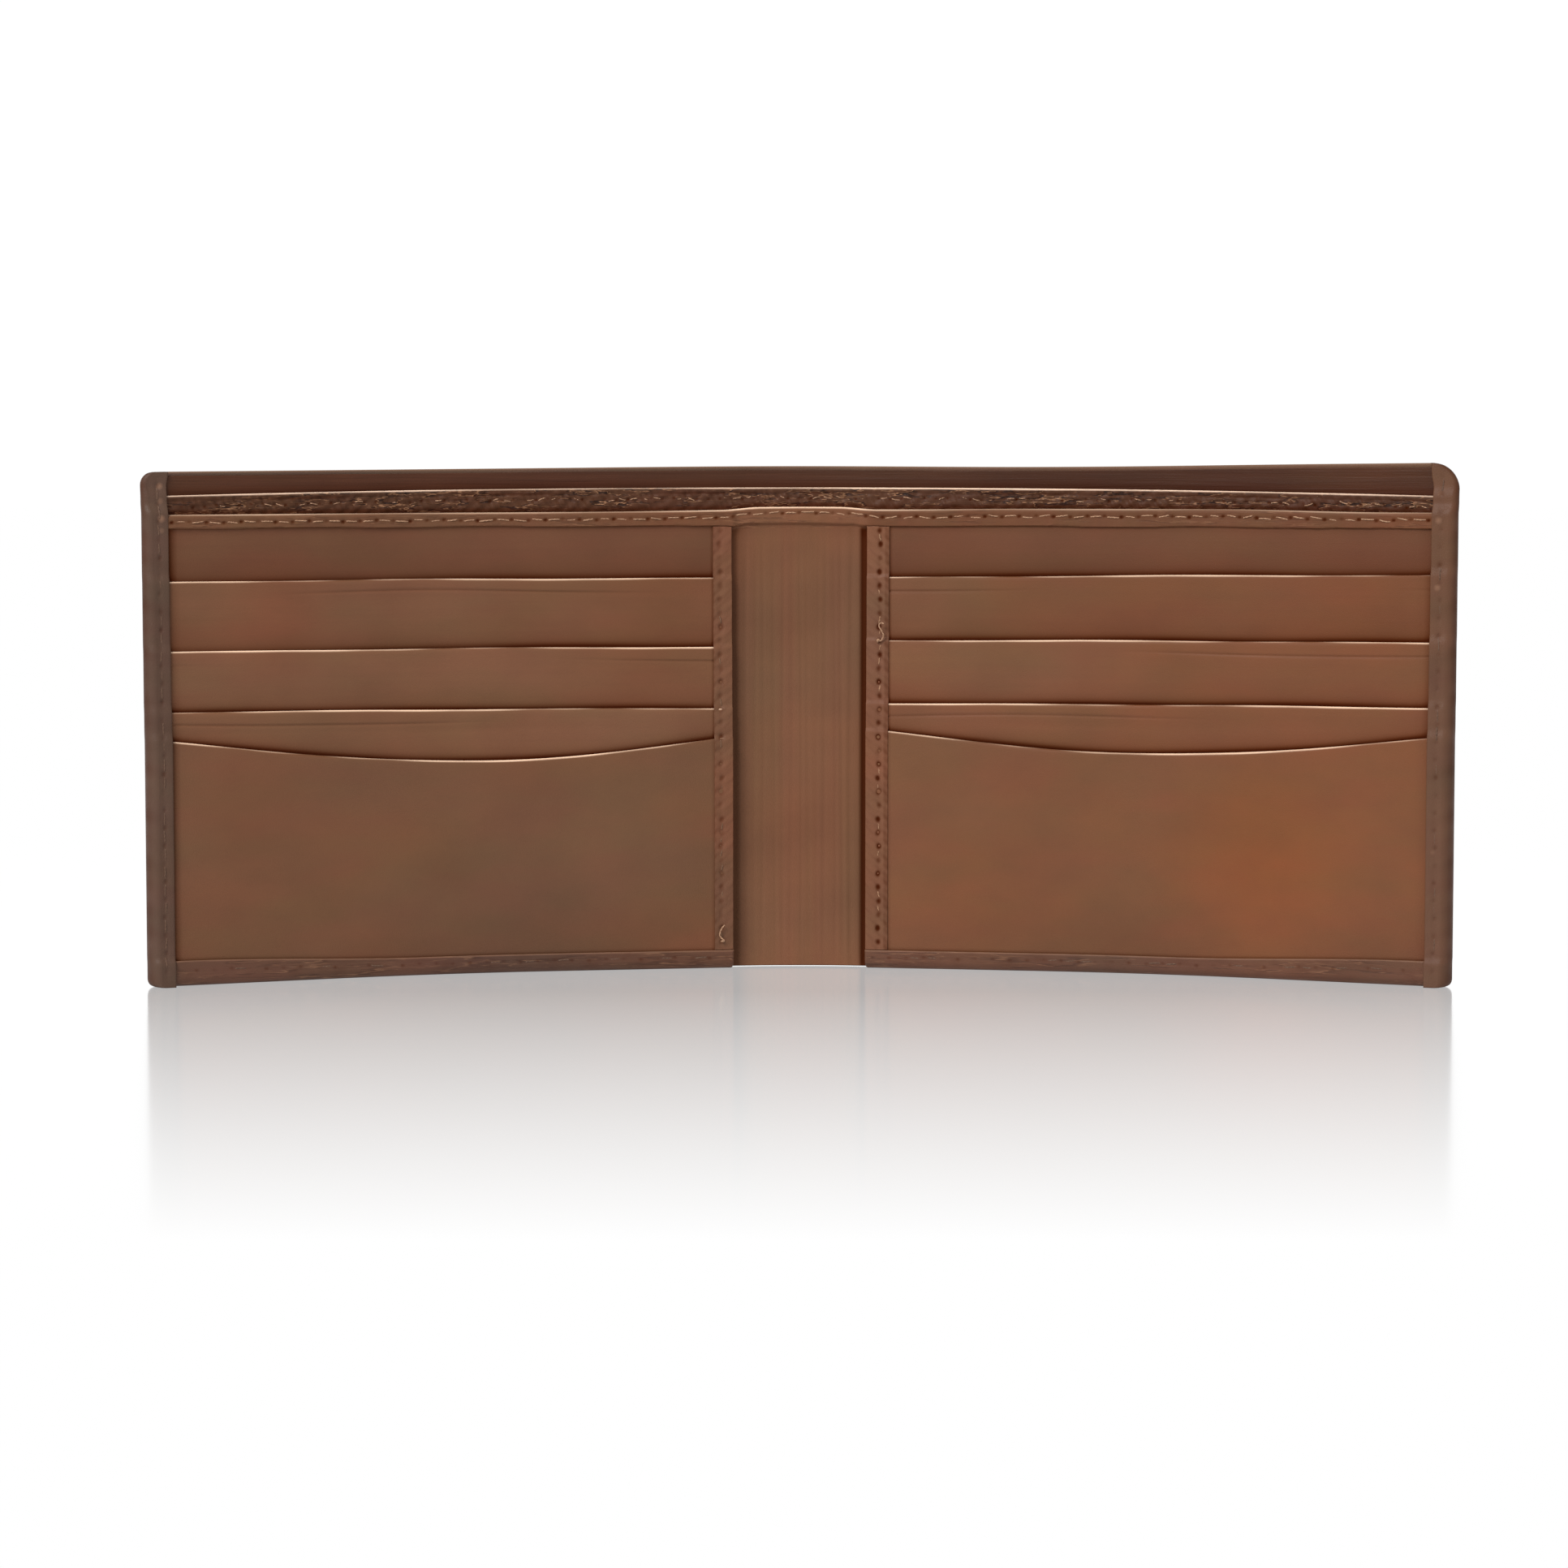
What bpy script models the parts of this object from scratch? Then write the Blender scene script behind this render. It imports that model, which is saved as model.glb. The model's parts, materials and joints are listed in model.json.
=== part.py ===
"""Bifold wallet, standing open on its long edge like a book.

The frame is +Z up. The wallet's inside faces -Y, its spine is its rearmost part, and its two
wings come forward from the spine. The origin is on the ground, at the middle of its footprint.

Leather is laid out in three directions inside each body:
  along   from the fold line towards the wing's outer end
  layer   from the outer face of the shell (0) through the layers to the card pockets
  height  above the ground
"""

import math
from dataclasses import dataclass

import bmesh
import bpy
from mathutils import Vector

MM = 0.001

# Driving dimensions.
SHELL_HEIGHT = 92.0 * MM
STACK_LENGTH = 107.8 * MM  # from a card stack's spine edge to the wing's outer end
SPINE_WIDTH = 25.2 * MM  # leather between the two card stacks
REST_ANGLE = math.radians(15.0)  # each wing comes this far forward
CLOSED_ANGLE = math.radians(90.0)  # each wing's turn when the wallet is shut

# The spine bends at four lines. Half a strip on either side belongs to the wings.
STRIP = SPINE_WIDTH / 4
WING_LENGTH = STRIP / 2 + STACK_LENGTH
STEP_AT_REST = REST_ANGLE / 2
STEP_WHEN_CLOSED = CLOSED_ANGLE / 2

GAP = 0.3 * MM  # air between neighbours that would touch
FOLD_DEPTH = 0.6 * MM  # the fold lines lie this deep in the shell

# Layers, each from its back face to its front face.
SHELL = (0.0, 1.0 * MM)
LINING = (1.2 * MM, 1.5 * MM)
DIVIDER = (2.1 * MM, 2.6 * MM)
PANEL = (3.2 * MM, 3.7 * MM)
SLOTS = ((3.9 * MM, 4.3 * MM), (4.5 * MM, 4.9 * MM), (5.1 * MM, 5.5 * MM))
FRONT_POCKET = (5.7 * MM, 6.2 * MM)
HEM_FRONT = 7.0 * MM
HEM_LIP = 0.6 * MM  # the turned leather in front of the stack

# Heights above the ground.
HEM_HEIGHT = 4.2 * MM
HEM_FLOOR = 1.0 * MM
PIVOT_HEIGHT = HEM_HEIGHT + GAP
FREE_BOTTOM = 0.5 * MM  # the spine clears the ground
PANEL_BOTTOM = HEM_FLOOR + GAP
PANEL_TOP = 84.3 * MM
DIVIDER_TOP = 88.0 * MM
SLOT_MOUTHS = (72.2 * MM, 60.1 * MM, 48.8 * MM)
SLOT_DEPTH = 42.0 * MM
SLOT_BAND = 14.0 * MM  # full-width part of a slot's leather, above its narrower tail
TAIL_INSET = 12.0 * MM
POCKET_END_HEIGHT = 43.8 * MM
POCKET_SAG = 4.2 * MM  # how far the front pocket's mouth dips in the middle
MOUTH_STEPS = 16

# The turned hem at a wing's outer end.
SIDE_HEM_WIDTH = 5.2 * MM
HEM_END_WALL = 1.0 * MM
CORNER_RADIUS = 5.0 * MM
CORNER_STEPS = 6

# Sewing thread.
THREAD_WIDTH = 0.5 * MM
THREAD_DEPTH = 0.3 * MM
THREAD_GAP = 0.2 * MM
SIDE_SEAM_INSET = 2.6 * MM
BOTTOM_SEAM_HEIGHT = 2.0 * MM
STACK_SEAM_INSET = 2.3 * MM
TOP_SEAM_INSET = 1.3 * MM

# Places along a wing.
STACK_START = STRIP / 2
STACK_END = WING_LENGTH - HEM_END_WALL - GAP
FREE_END = WING_LENGTH - SIDE_HEM_WIDTH - GAP  # leather that swings stops short of the hem

LEFT, RIGHT = -1, 1


@dataclass
class Body:
    """A rigid group: an empty on its joint's axis, and where that axis is in the leather."""

    empty: bpy.types.Object
    side: int
    depth: float
    height: float = 0.0

    def point(self, along, layer, height):
        return Vector((self.side * along, self.depth - layer, height - self.height))


def clear_scene():
    for thing in list(bpy.data.objects):
        bpy.data.objects.remove(thing, do_unlink=True)


def linear(channel):
    value = channel / 255
    return value / 12.92 if value <= 0.04045 else ((value + 0.055) / 1.055) ** 2.4


def make_material(name, red, green, blue, roughness):
    material = bpy.data.materials.new(name)
    material.use_nodes = True
    shader = material.node_tree.nodes["Principled BSDF"]
    colour = (linear(red), linear(green), linear(blue), 1.0)
    shader.inputs["Base Color"].default_value = colour
    shader.inputs["Roughness"].default_value = roughness
    shader.inputs["Metallic"].default_value = 0.0
    material.diffuse_color = colour
    return material


def make_materials():
    return {
        "shell": make_material("shell_leather", 88, 60, 47, 0.5),
        "hem": make_material("hem_leather", 101, 76, 61, 0.5),
        "panel": make_material("panel_leather", 116, 77, 56, 0.48),
        "pocket": make_material("pocket_leather", 124, 84, 62, 0.48),
        "lining": make_material("lining_leather", 84, 57, 43, 0.6),
        "thread": make_material("thread", 150, 110, 80, 0.75),
    }


def make_empty(name, parent, location, turn=0.0):
    empty = bpy.data.objects.new(name, None)
    bpy.context.scene.collection.objects.link(empty)
    empty.parent = parent
    empty.location = location
    empty.rotation_euler = (0.0, 0.0, turn)
    return empty


def make_prism(name, base, sweep, material, parent):
    """A closed solid: the flat polygon base, swept along a vector."""
    shape = bmesh.new()
    face = shape.faces.new([shape.verts.new(point) for point in base])
    swept = bmesh.ops.extrude_face_region(shape, geom=[face])["geom"]
    corners = [part for part in swept if isinstance(part, bmesh.types.BMVert)]
    bmesh.ops.translate(shape, verts=corners, vec=sweep)
    bmesh.ops.recalc_face_normals(shape, faces=shape.faces)
    mesh = bpy.data.meshes.new(name)
    shape.to_mesh(mesh)
    shape.free()
    if material:
        mesh.materials.append(material)
    prism = bpy.data.objects.new(name, mesh)
    bpy.context.scene.collection.objects.link(prism)
    prism.parent = parent
    return prism


def make_sheet(name, body, outline, layer, material):
    """Leather cut to an outline of (along, height) points, as thick as its layer."""
    back, front = layer
    base = [body.point(along, back, height) for along, height in outline]
    return make_prism(name, base, Vector((0.0, back - front, 0.0)), material, body.empty)


def make_strip(name, body, profile, start, end, material):
    """A profile of (layer, height) points, run along the leather from start to end."""
    base = [body.point(start, layer, height) for layer, height in profile]
    run = Vector((body.side * (end - start), 0.0, 0.0))
    return make_prism(name, base, run, material, body.empty)


def rectangle(start, end, bottom, top):
    return [(start, bottom), (end, bottom), (end, top), (start, top)]


def fold_margin(layer):
    """Leather missing at a fold line, so that two neighbours still clear when shut."""
    return (layer[1] - FOLD_DEPTH) * math.tan(STEP_WHEN_CLOSED / 2) + GAP / 2


def on_top_of(layer):
    """The layer of a thread that lies on another layer's front face."""
    back = layer[1] + THREAD_GAP
    return (back, back + THREAD_DEPTH)


def level_thread(name, body, start, end, height, layer, material):
    low, high = height - THREAD_WIDTH / 2, height + THREAD_WIDTH / 2
    return make_sheet(name, body, rectangle(start, end, low, high), layer, material)


def spine_depth():
    """How far the middle strip's fold plane is behind the origin."""
    forward = STRIP * math.sin(STEP_AT_REST) + WING_LENGTH * math.sin(REST_ANGLE)
    forward += (HEM_FRONT - FOLD_DEPTH) * math.cos(REST_ANGLE)
    return (forward - FOLD_DEPTH) / 2


def make_spine_strip(name, body, start, end, materials):
    """One rigid strip of the soft spine, with every layer that crosses it."""
    layers = (
        ("shell", SHELL, FREE_BOTTOM, SHELL_HEIGHT, "shell"),
        ("lining", LINING, PIVOT_HEIGHT, SHELL_HEIGHT - GAP, "lining"),
        ("divider", DIVIDER, PIVOT_HEIGHT, DIVIDER_TOP, "panel"),
        ("inner_panel", PANEL, FREE_BOTTOM, PANEL_TOP, "panel"),
    )
    for part, layer, bottom, top, material in layers:
        margin = fold_margin(layer)
        outline = rectangle(start + margin, end - margin, bottom, top)
        make_sheet(f"{name}_{part}", body, outline, layer, materials[material])
    for part, layer, top in (("divider", DIVIDER, DIVIDER_TOP), ("panel", PANEL, PANEL_TOP)):
        thread = on_top_of(layer)
        margin = fold_margin(thread)
        level_thread(f"{name}_{part}_thread", body, start + margin, end - margin,
                     top - TOP_SEAM_INSET, thread, materials["thread"])


def slot_outline(mouth):
    """A T: a full-width band below the mouth, then a narrower tail inside the stack."""
    band, tail = mouth - SLOT_BAND, mouth - SLOT_DEPTH
    near, far = STACK_START + TAIL_INSET, STACK_END - TAIL_INSET
    return [
        (STACK_START, mouth), (STACK_START, band), (near, band), (near, tail),
        (far, tail), (far, band), (STACK_END, band), (STACK_END, mouth),
    ]


def mouth_curve():
    """The front pocket's dipped mouth, an arc of a circle from its outer end to the spine."""
    half = (STACK_END - STACK_START) / 2
    radius = (half**2 + POCKET_SAG**2) / (2 * POCKET_SAG)
    reach = math.asin(half / radius)
    centre = STACK_START + half
    centre_height = POCKET_END_HEIGHT - POCKET_SAG + radius
    turns = [reach - 2 * reach * step / MOUTH_STEPS for step in range(MOUTH_STEPS + 1)]
    return [
        (centre + radius * math.sin(turn), centre_height - radius * math.cos(turn))
        for turn in turns
    ]


def make_pockets(name, wing, materials):
    for number, (layer, mouth) in enumerate(zip(SLOTS, SLOT_MOUTHS), start=1):
        make_sheet(f"{name}_card_slot_{number}", wing, slot_outline(mouth), layer,
                   materials["pocket"])
    floor = [(STACK_START, PANEL_BOTTOM), (STACK_END, PANEL_BOTTOM)]
    make_sheet(f"{name}_front_pocket", wing, floor + mouth_curve(), FRONT_POCKET,
               materials["pocket"])


def side_hem_outline():
    """The hem's outline with its rounded top outer corner."""
    start = WING_LENGTH - SIDE_HEM_WIDTH
    centre, top = WING_LENGTH - CORNER_RADIUS, SHELL_HEIGHT - CORNER_RADIUS
    turns = [math.pi / 2 * step / CORNER_STEPS for step in range(CORNER_STEPS + 1)]
    corner = [
        (centre + CORNER_RADIUS * math.cos(turn), top + CORNER_RADIUS * math.sin(turn))
        for turn in turns
    ]
    return [(start, 0.0), (WING_LENGTH, 0.0)] + corner + [(start, SHELL_HEIGHT)]


def make_side_hem(name, wing, materials):
    """The shell turned round the wing's outer end, with the ends of the layers inside it."""
    hem = make_sheet(f"{name}_side_hem", wing, side_hem_outline(), (0.0, HEM_FRONT),
                     materials["hem"])
    start = WING_LENGTH - SIDE_HEM_WIDTH - GAP
    inside = rectangle(start, WING_LENGTH - HEM_END_WALL, HEM_FLOOR, SHELL_HEIGHT + GAP)
    cutter = make_sheet(f"{name}_side_hem_cutter", wing, inside,
                        (SHELL[1], HEM_FRONT - HEM_LIP), None)
    cutter.hide_render = True
    cutter.display_type = "WIRE"
    cut = hem.modifiers.new("inside", "BOOLEAN")
    cut.operation = "DIFFERENCE"
    cut.object = cutter


def make_bottom_hem(name, wing, materials):
    """The shell turned up under the card stack. The wallet stands on it."""
    lip = HEM_FRONT - HEM_LIP
    profile = [
        (0.0, 0.0), (HEM_FRONT, 0.0), (HEM_FRONT, HEM_HEIGHT), (lip, HEM_HEIGHT),
        (lip, HEM_FLOOR), (SHELL[1], HEM_FLOOR), (SHELL[1], HEM_HEIGHT), (0.0, HEM_HEIGHT),
    ]
    make_strip(f"{name}_bottom_hem", wing, profile, STACK_START, FREE_END, materials["hem"])


def stepped_profile():
    """A thread down the stack's steps, from the panel's hem to the front pocket's foot."""
    tops = (PANEL_TOP - TOP_SEAM_INSET - THREAD_WIDTH, *SLOT_MOUTHS, POCKET_END_HEIGHT)
    faces = [layer[1] + THREAD_GAP for layer in (PANEL, *SLOTS, FRONT_POCKET)]
    back = [(faces[0], tops[0])]
    front = [(faces[0] + THREAD_DEPTH, tops[0])]
    for upper, lower, mouth in zip(faces, faces[1:], tops[1:]):
        step = mouth + THREAD_GAP
        back += [(upper, step), (lower, step)]
        front += [(upper + THREAD_DEPTH, step + THREAD_DEPTH)]
        front += [(lower + THREAD_DEPTH, step + THREAD_DEPTH)]
    foot = HEM_HEIGHT + GAP
    back.append((faces[-1], foot))
    front.append((faces[-1] + THREAD_DEPTH, foot))
    return back + front[::-1]


def make_threads(name, wing, materials):
    thread = materials["thread"]
    on_hem = on_top_of((0.0, HEM_FRONT))
    side = WING_LENGTH - SIDE_SEAM_INSET
    column = rectangle(side - THREAD_WIDTH / 2, side + THREAD_WIDTH / 2,
                       2 * BOTTOM_SEAM_HEIGHT, SHELL_HEIGHT - CORNER_RADIUS)
    make_sheet(f"{name}_side_seam_thread", wing, column, on_hem, thread)
    level_thread(f"{name}_bottom_seam_thread", wing, STACK_START + GAP, side - 2 * THREAD_WIDTH,
                 BOTTOM_SEAM_HEIGHT, on_hem, thread)
    seam = STACK_START + STACK_SEAM_INSET
    make_strip(f"{name}_stack_seam_thread", wing, stepped_profile(),
               seam - THREAD_WIDTH / 2, seam + THREAD_WIDTH / 2, thread)
    on_panel = on_top_of(PANEL)
    level_thread(f"{name}_panel_thread", wing, fold_margin(on_panel), FREE_END,
                 PANEL_TOP - TOP_SEAM_INSET, on_panel, thread)


def make_wing(name, wing, materials):
    panel = rectangle(fold_margin(PANEL), STACK_END, PANEL_BOTTOM, PANEL_TOP)
    make_sheet(f"{name}_inner_panel", wing, panel, PANEL, materials["panel"])
    make_pockets(name, wing, materials)
    make_side_hem(name, wing, materials)
    make_bottom_hem(name, wing, materials)
    make_threads(name, wing, materials)


def swinging_body(name, wing, layer):
    """A body that swings back on the top of the bottom hem, to open the note compartment."""
    depth = (layer[0] + layer[1]) / 2
    place = wing.point(0.0, depth, PIVOT_HEIGHT)
    return Body(make_empty(name, wing.empty, place), wing.side, depth, PIVOT_HEIGHT)


def make_cover(name, wing, materials):
    cover = swinging_body(f"{name}_cover_axis", wing, SHELL)
    bottom = PIVOT_HEIGHT + GAP / 2
    shell = rectangle(fold_margin(SHELL), FREE_END, bottom, SHELL_HEIGHT)
    make_sheet(f"{name}_cover", cover, shell, SHELL, materials["shell"])
    lining = rectangle(fold_margin(LINING), FREE_END - GAP, bottom + GAP, SHELL_HEIGHT - GAP)
    make_sheet(f"{name}_cover_lining", cover, lining, LINING, materials["lining"])


def make_divider(name, wing, materials):
    divider = swinging_body(f"{name}_divider_axis", wing, DIVIDER)
    bottom = PIVOT_HEIGHT + GAP
    sheet = rectangle(fold_margin(DIVIDER), FREE_END - GAP, bottom, DIVIDER_TOP)
    make_sheet(f"{name}_divider", divider, sheet, DIVIDER, materials["panel"])
    thread = on_top_of(DIVIDER)
    level_thread(f"{name}_divider_thread", divider, fold_margin(thread), FREE_END - 2 * GAP,
                 DIVIDER_TOP - TOP_SEAM_INSET, thread, materials["thread"])


def make_half(name, side, middle, materials):
    """Everything on one side of the spine's middle strip."""
    first_line = (side * STRIP / 2, 0.0, 0.0)
    strip_axis = make_empty(f"{name}_strip_axis", middle, first_line, -side * STEP_AT_REST)
    strip = Body(strip_axis, side, FOLD_DEPTH)
    make_spine_strip(f"spine_{name}", strip, 0.0, STRIP, materials)
    second_line = (side * STRIP, 0.0, 0.0)
    wing_axis = make_empty(f"{name}_wing_axis", strip_axis, second_line, -side * STEP_AT_REST)
    wing = Body(wing_axis, side, FOLD_DEPTH)
    make_wing(name, wing, materials)
    make_cover(name, wing, materials)
    make_divider(name, wing, materials)


def main():
    clear_scene()
    materials = make_materials()
    middle = make_empty("spine_axis", None, (0.0, spine_depth(), 0.0))
    make_spine_strip("spine_mid", Body(middle, RIGHT, FOLD_DEPTH), -STRIP / 2, STRIP / 2,
                     materials)
    make_half("left", LEFT, middle, materials)
    make_half("right", RIGHT, middle, materials)


main()
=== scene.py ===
"""Looks of the open bifold wallet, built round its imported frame.

Every piece is laid out on the leather itself. a runs along the wallet from the middle of the
spine and s is a with the side's sign, n runs from the back of the shell to the front, and z is
up. Lengths are in millimetres until place() turns them into Blender's metres.
"""
import json
import math
from functools import partial

import bpy
import numpy as np
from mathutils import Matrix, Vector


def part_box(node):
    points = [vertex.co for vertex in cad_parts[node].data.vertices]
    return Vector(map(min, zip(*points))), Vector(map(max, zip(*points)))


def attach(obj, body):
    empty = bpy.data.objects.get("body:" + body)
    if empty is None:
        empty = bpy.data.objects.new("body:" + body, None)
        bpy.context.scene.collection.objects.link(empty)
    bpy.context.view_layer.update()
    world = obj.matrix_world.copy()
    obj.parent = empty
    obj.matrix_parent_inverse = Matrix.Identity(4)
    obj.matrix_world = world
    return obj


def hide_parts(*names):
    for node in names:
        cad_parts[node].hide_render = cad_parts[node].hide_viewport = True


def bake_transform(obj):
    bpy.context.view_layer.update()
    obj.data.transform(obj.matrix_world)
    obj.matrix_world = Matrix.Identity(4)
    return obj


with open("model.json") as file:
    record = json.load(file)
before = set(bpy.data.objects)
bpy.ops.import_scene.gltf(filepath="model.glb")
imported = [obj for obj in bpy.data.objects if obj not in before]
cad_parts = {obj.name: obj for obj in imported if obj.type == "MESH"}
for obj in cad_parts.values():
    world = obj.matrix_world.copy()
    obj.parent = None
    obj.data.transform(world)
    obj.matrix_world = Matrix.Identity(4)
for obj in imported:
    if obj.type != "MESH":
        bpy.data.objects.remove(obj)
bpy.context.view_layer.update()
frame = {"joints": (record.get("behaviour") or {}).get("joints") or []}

MM = 0.001
SIDES = {"left": -1, "right": 1}
JOINTS = {joint["name"]: joint for joint in frame["joints"]}
RNG = np.random.default_rng(11)


def top_of(node):
    """Height of a CAD node's highest point."""
    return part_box(node)[1].z / MM


# ---------------- sizes from the frame

FIRST_FOLD = [x / MM for x in JOINTS["right_spine_fold"]["pos_m"]]
WING_FOLD = [x / MM for x in JOINTS["right_wing_fold"]["pos_m"]]
COVER_AXIS = JOINTS["right_cover_opening"]["axis"]
COVER_PIVOT = JOINTS["right_cover_opening"]["pos_m"][2] / MM
WING_ANGLE = math.atan2(COVER_AXIS[1], -COVER_AXIS[0])
STRIP = 2 * FIRST_FOLD[0]
BEND_END = 2 * STRIP
WING_REACH = (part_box("right_side_hem")[1].x / MM - WING_FOLD[0]) / math.cos(WING_ANGLE)
END = 1.5 * STRIP + WING_REACH + 0.05

SHELL_TOP = top_of("spine_mid_shell")
DIVIDER_TOP = top_of("left_divider")
PANEL_TOP = top_of("left_inner_panel")
MOUTH_TOPS = [top_of(f"left_card_slot_{k}") for k in (1, 2, 3)] + [top_of("left_front_pocket")]

# ---------------- sizes of the fine shape

NEAR_TURN = math.radians(9.5)    # turn of the soft spine, from its middle to each wing
FAR_TURN = math.radians(12.5)    # further turn of each wing, in its outer part
FAR_TURN_START = 35.0
FAR_TURN_LENGTH = 60.0
FOLD_DEPTH = 0.6                 # depth of the fold lines, from the back of the shell

# back and thickness of each layer, from the shell to the strip that binds the card stack
LEVELS = {
    "shell": (0.0, 0.9),
    "lining": (0.93, 0.22),
    "divider": (1.20, 0.45),
    "inner_panel": (1.70, 0.40),
    "stack_base": (2.14, 0.40),
    "card_slot_1": (2.58, 0.36),
    "card_slot_2": (2.98, 0.36),
    "card_slot_3": (3.38, 0.36),
    "front_pocket": (3.78, 0.42),
    "stack_strip": (4.24, 0.26),
}
FACES = {layer: back + thick for layer, (back, thick) in LEVELS.items()}
STACK = ("stack_base", "card_slot_1", "card_slot_2", "card_slot_3", "front_pocket")
FLAP = 0.55                      # a turned hem is skived thinner than the shell
PLAY = 0.03                      # air between a hem and what lies under it
HEM_THICK = 0.42                 # how far the inner panel's top hem stands out
HEM_LIFT = 0.42                  # how much further it stands out over the card stack
TONE = {"stack_base": 0.11, "card_slot_1": 0.13, "card_slot_2": 0.04}    # how much darker a layer is
LEAN = {"shell": 1.0, "lining": 1.0, "divider": 0.45}    # how far the loose sheets lean back
PUFF = 0.55                      # how far the front pocket stands out where it is fullest

STACK_EDGE = 12.85               # edge of the card stack along the spine
LAYER_END = END - 2.3            # the layers end inside the bend of the side hem
SIDE_HEM = 4.45                  # width of a side hem
SIDE_SEAM_IN = 2.75              # from the wallet's end to the side seam
FOOT_SEAM_Z = 2.2                # height of the bottom seam at the spine
HEM_TURN = 0.36                  # how far inside the wallet's edge the middle of a hem turns
SEAM_END = END - SIDE_HEM - 0.6  # outer end of the seams that run along the wallet
BACK_RUN = 2.4                   # how far the side hem's piece reaches round to the back
LOW_RUN = 1.9                    # how far the bottom hem's piece reaches up the back
FOOT = 2.15                      # the layers end inside the bend of the bottom hem
CORNERS = {"left": 2.3, "right": 4.8}    # radius of each top corner
FOOT_CORNER = 1.4
HEM_FLAP_Z = 2.75                # height of the turned top hem of the inner panel
SAG = {"left": 4.3, "right": 4.0}    # dip of each front pocket's mouth
# how far each mouth lies off its height in the CAD, at the spine end and at the outer end
OFFS = {
    "left": ((-0.7, -0.6), (-1.2, -0.8), (-1.1, -0.2), (-1.2, -0.1)),
    "right": ((-0.6, 0.6), (0.0, 0.8), (-0.2, 0.6), (0.2, 0.5)),
}
SLOT_DEPTH = 41.0
TAIL_START = 14.0                # how far under its mouth a card slot narrows to its tail
TAIL_INSET = 12.0                # and how much it narrows there, on each side

STITCH = STRIP / 2               # one stitch, along the hems
DIVIDER_STITCH = STRIP / 3
COLUMN_STITCH = 2.5              # one stitch, down the card stacks
THREAD_RADIUS = 0.17
COLUMN_AT = {"left": 14.95, "right": 15.15}
STRIP_END = {"left": 16.2, "right": 16.9}    # outer edge of the strip that binds the stack
SPINE_CREASES = (
    (-9.9, 0.10), (-8.3, 0.05), (-6.9, 0.07), (-4.6, 0.05), (-2.9, 0.06), (-1.4, 0.04),
    (0.2, 0.08), (1.7, 0.05), (3.5, 0.05), (4.7, 0.06), (6.6, 0.07), (8.0, 0.10), (9.7, 0.12),
)


# ---------------- the shape of the leather

def smooth(t):
    t = np.clip(t, 0, 1)
    return t * t * (3 - 2 * t)


def ridge(x, width):
    """1 at x = 0, falling away to both sides over width."""
    return np.exp(-(x / width) ** 2)


def heading(a):
    """How far the wallet has turned towards the front, a along it."""
    return NEAR_TURN * smooth(a / BEND_END) + FAR_TURN * smooth((a - FAR_TURN_START) / FAR_TURN_LENGTH)


WALK_STEP = 0.02
WALK = np.arange(0, 130, WALK_STEP)
MIDDLES = heading(WALK[:-1] + WALK_STEP / 2)
WALK_X = np.concatenate([[0], np.cumsum(np.cos(MIDDLES)) * WALK_STEP])
WALK_Y = np.concatenate([[0], np.cumsum(np.sin(MIDDLES)) * WALK_STEP])


def wave(s, z):
    """The soft waviness that all layers share."""
    rise = np.clip(z / SHELL_TOP, 0, 1)
    return 0.2 * np.sin(s / 19 + 0.6) * rise + 0.12 * np.sin(s / 7.3 + 2.1) * rise ** 2


def place(s, n, z):
    """A point of the leather, in metres in the frame."""
    a = np.abs(s)
    side = np.where(s < 0, -1, 1)
    turn = heading(a)
    depth = n - FOLD_DEPTH + wave(s, z)
    x = side * (np.interp(a, WALK, WALK_X) - np.sin(turn) * depth)
    y = FIRST_FOLD[1] - np.interp(a, WALK, WALK_Y) - np.cos(turn) * depth
    return np.stack(np.broadcast_arrays(x, y, z), -1) * MM


def shell_top(s):
    return SHELL_TOP - 0.3 + 0.8 * s / END + 0.2 * ridge(s, 40) - 0.4 * ridge(s - 45, 42)


def divider_top(s):
    return DIVIDER_TOP - 0.12 - 1.3 * (np.abs(s) / END) ** 2.2


def panel_top(s):
    arch = 0.42 * ridge(s, 24) + 0.4 * smooth((14.5 - np.abs(s)) / 7)
    return PANEL_TOP - 0.75 + 0.2 * s / END + arch + 0.45 * smooth((s - 8) / 35) * smooth((108 - s) / 30)


def panel_fold(s):
    """Lower edge of the inner panel's turned top hem."""
    rise = 0.55 * smooth((12.6 - np.abs(s)) / 3) * (1 - 0.5 * smooth((s + 2) / 12))
    return PANEL_TOP - 0.7 - HEM_FLAP_Z + 0.07 * np.sin(s / 5.3) + rise


def bottom_hem_top(a):
    return 3.45 + 1.2 * smooth((a - 70) / 45)


def mouth(side, k, a):
    """Height of the mouth of card slot k from 0, or of the front pocket for k = 3."""
    t = np.clip((a - STACK_EDGE) / (LAYER_END - STACK_EDGE), 0, 1)
    low, high = OFFS[side][k]
    z = MOUTH_TOPS[k] + low + (high - low) * t
    z = z + 0.09 * np.sin(a / 9 + 2 * k) * np.sin(math.pi * t)
    if k == 3:
        z = z - SAG[side] * np.sin(math.pi * t ** (0.92 if side == "left" else 1.0)) ** 1.1
    return z


def across(a):
    """0 at the spine and at the side hem, and 1 halfway along a wing."""
    t = np.clip((a - BEND_END) / (END - SIDE_HEM - 1 - BEND_END), 0, 1)
    return np.sin(math.pi * t)


def fullness(a, z):
    return across(a) ** 0.8 * np.sin(math.pi * np.clip(z / PANEL_TOP, 0, 1)) ** 0.6


def back_of(layer, a, z):
    """Depth of a layer's back, with the puff of a filled stack and the lean of the loose sheets."""
    level, panel, pocket = (LEVELS[name][0] for name in (layer, "inner_panel", "front_pocket"))
    share = max(0.0, (level - panel) / (pocket - panel))
    lean = LEAN.get(layer, 0.0) * across(a) * smooth((z - 40) / 50)
    return level + PUFF * share * fullness(a, z) - lean


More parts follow.
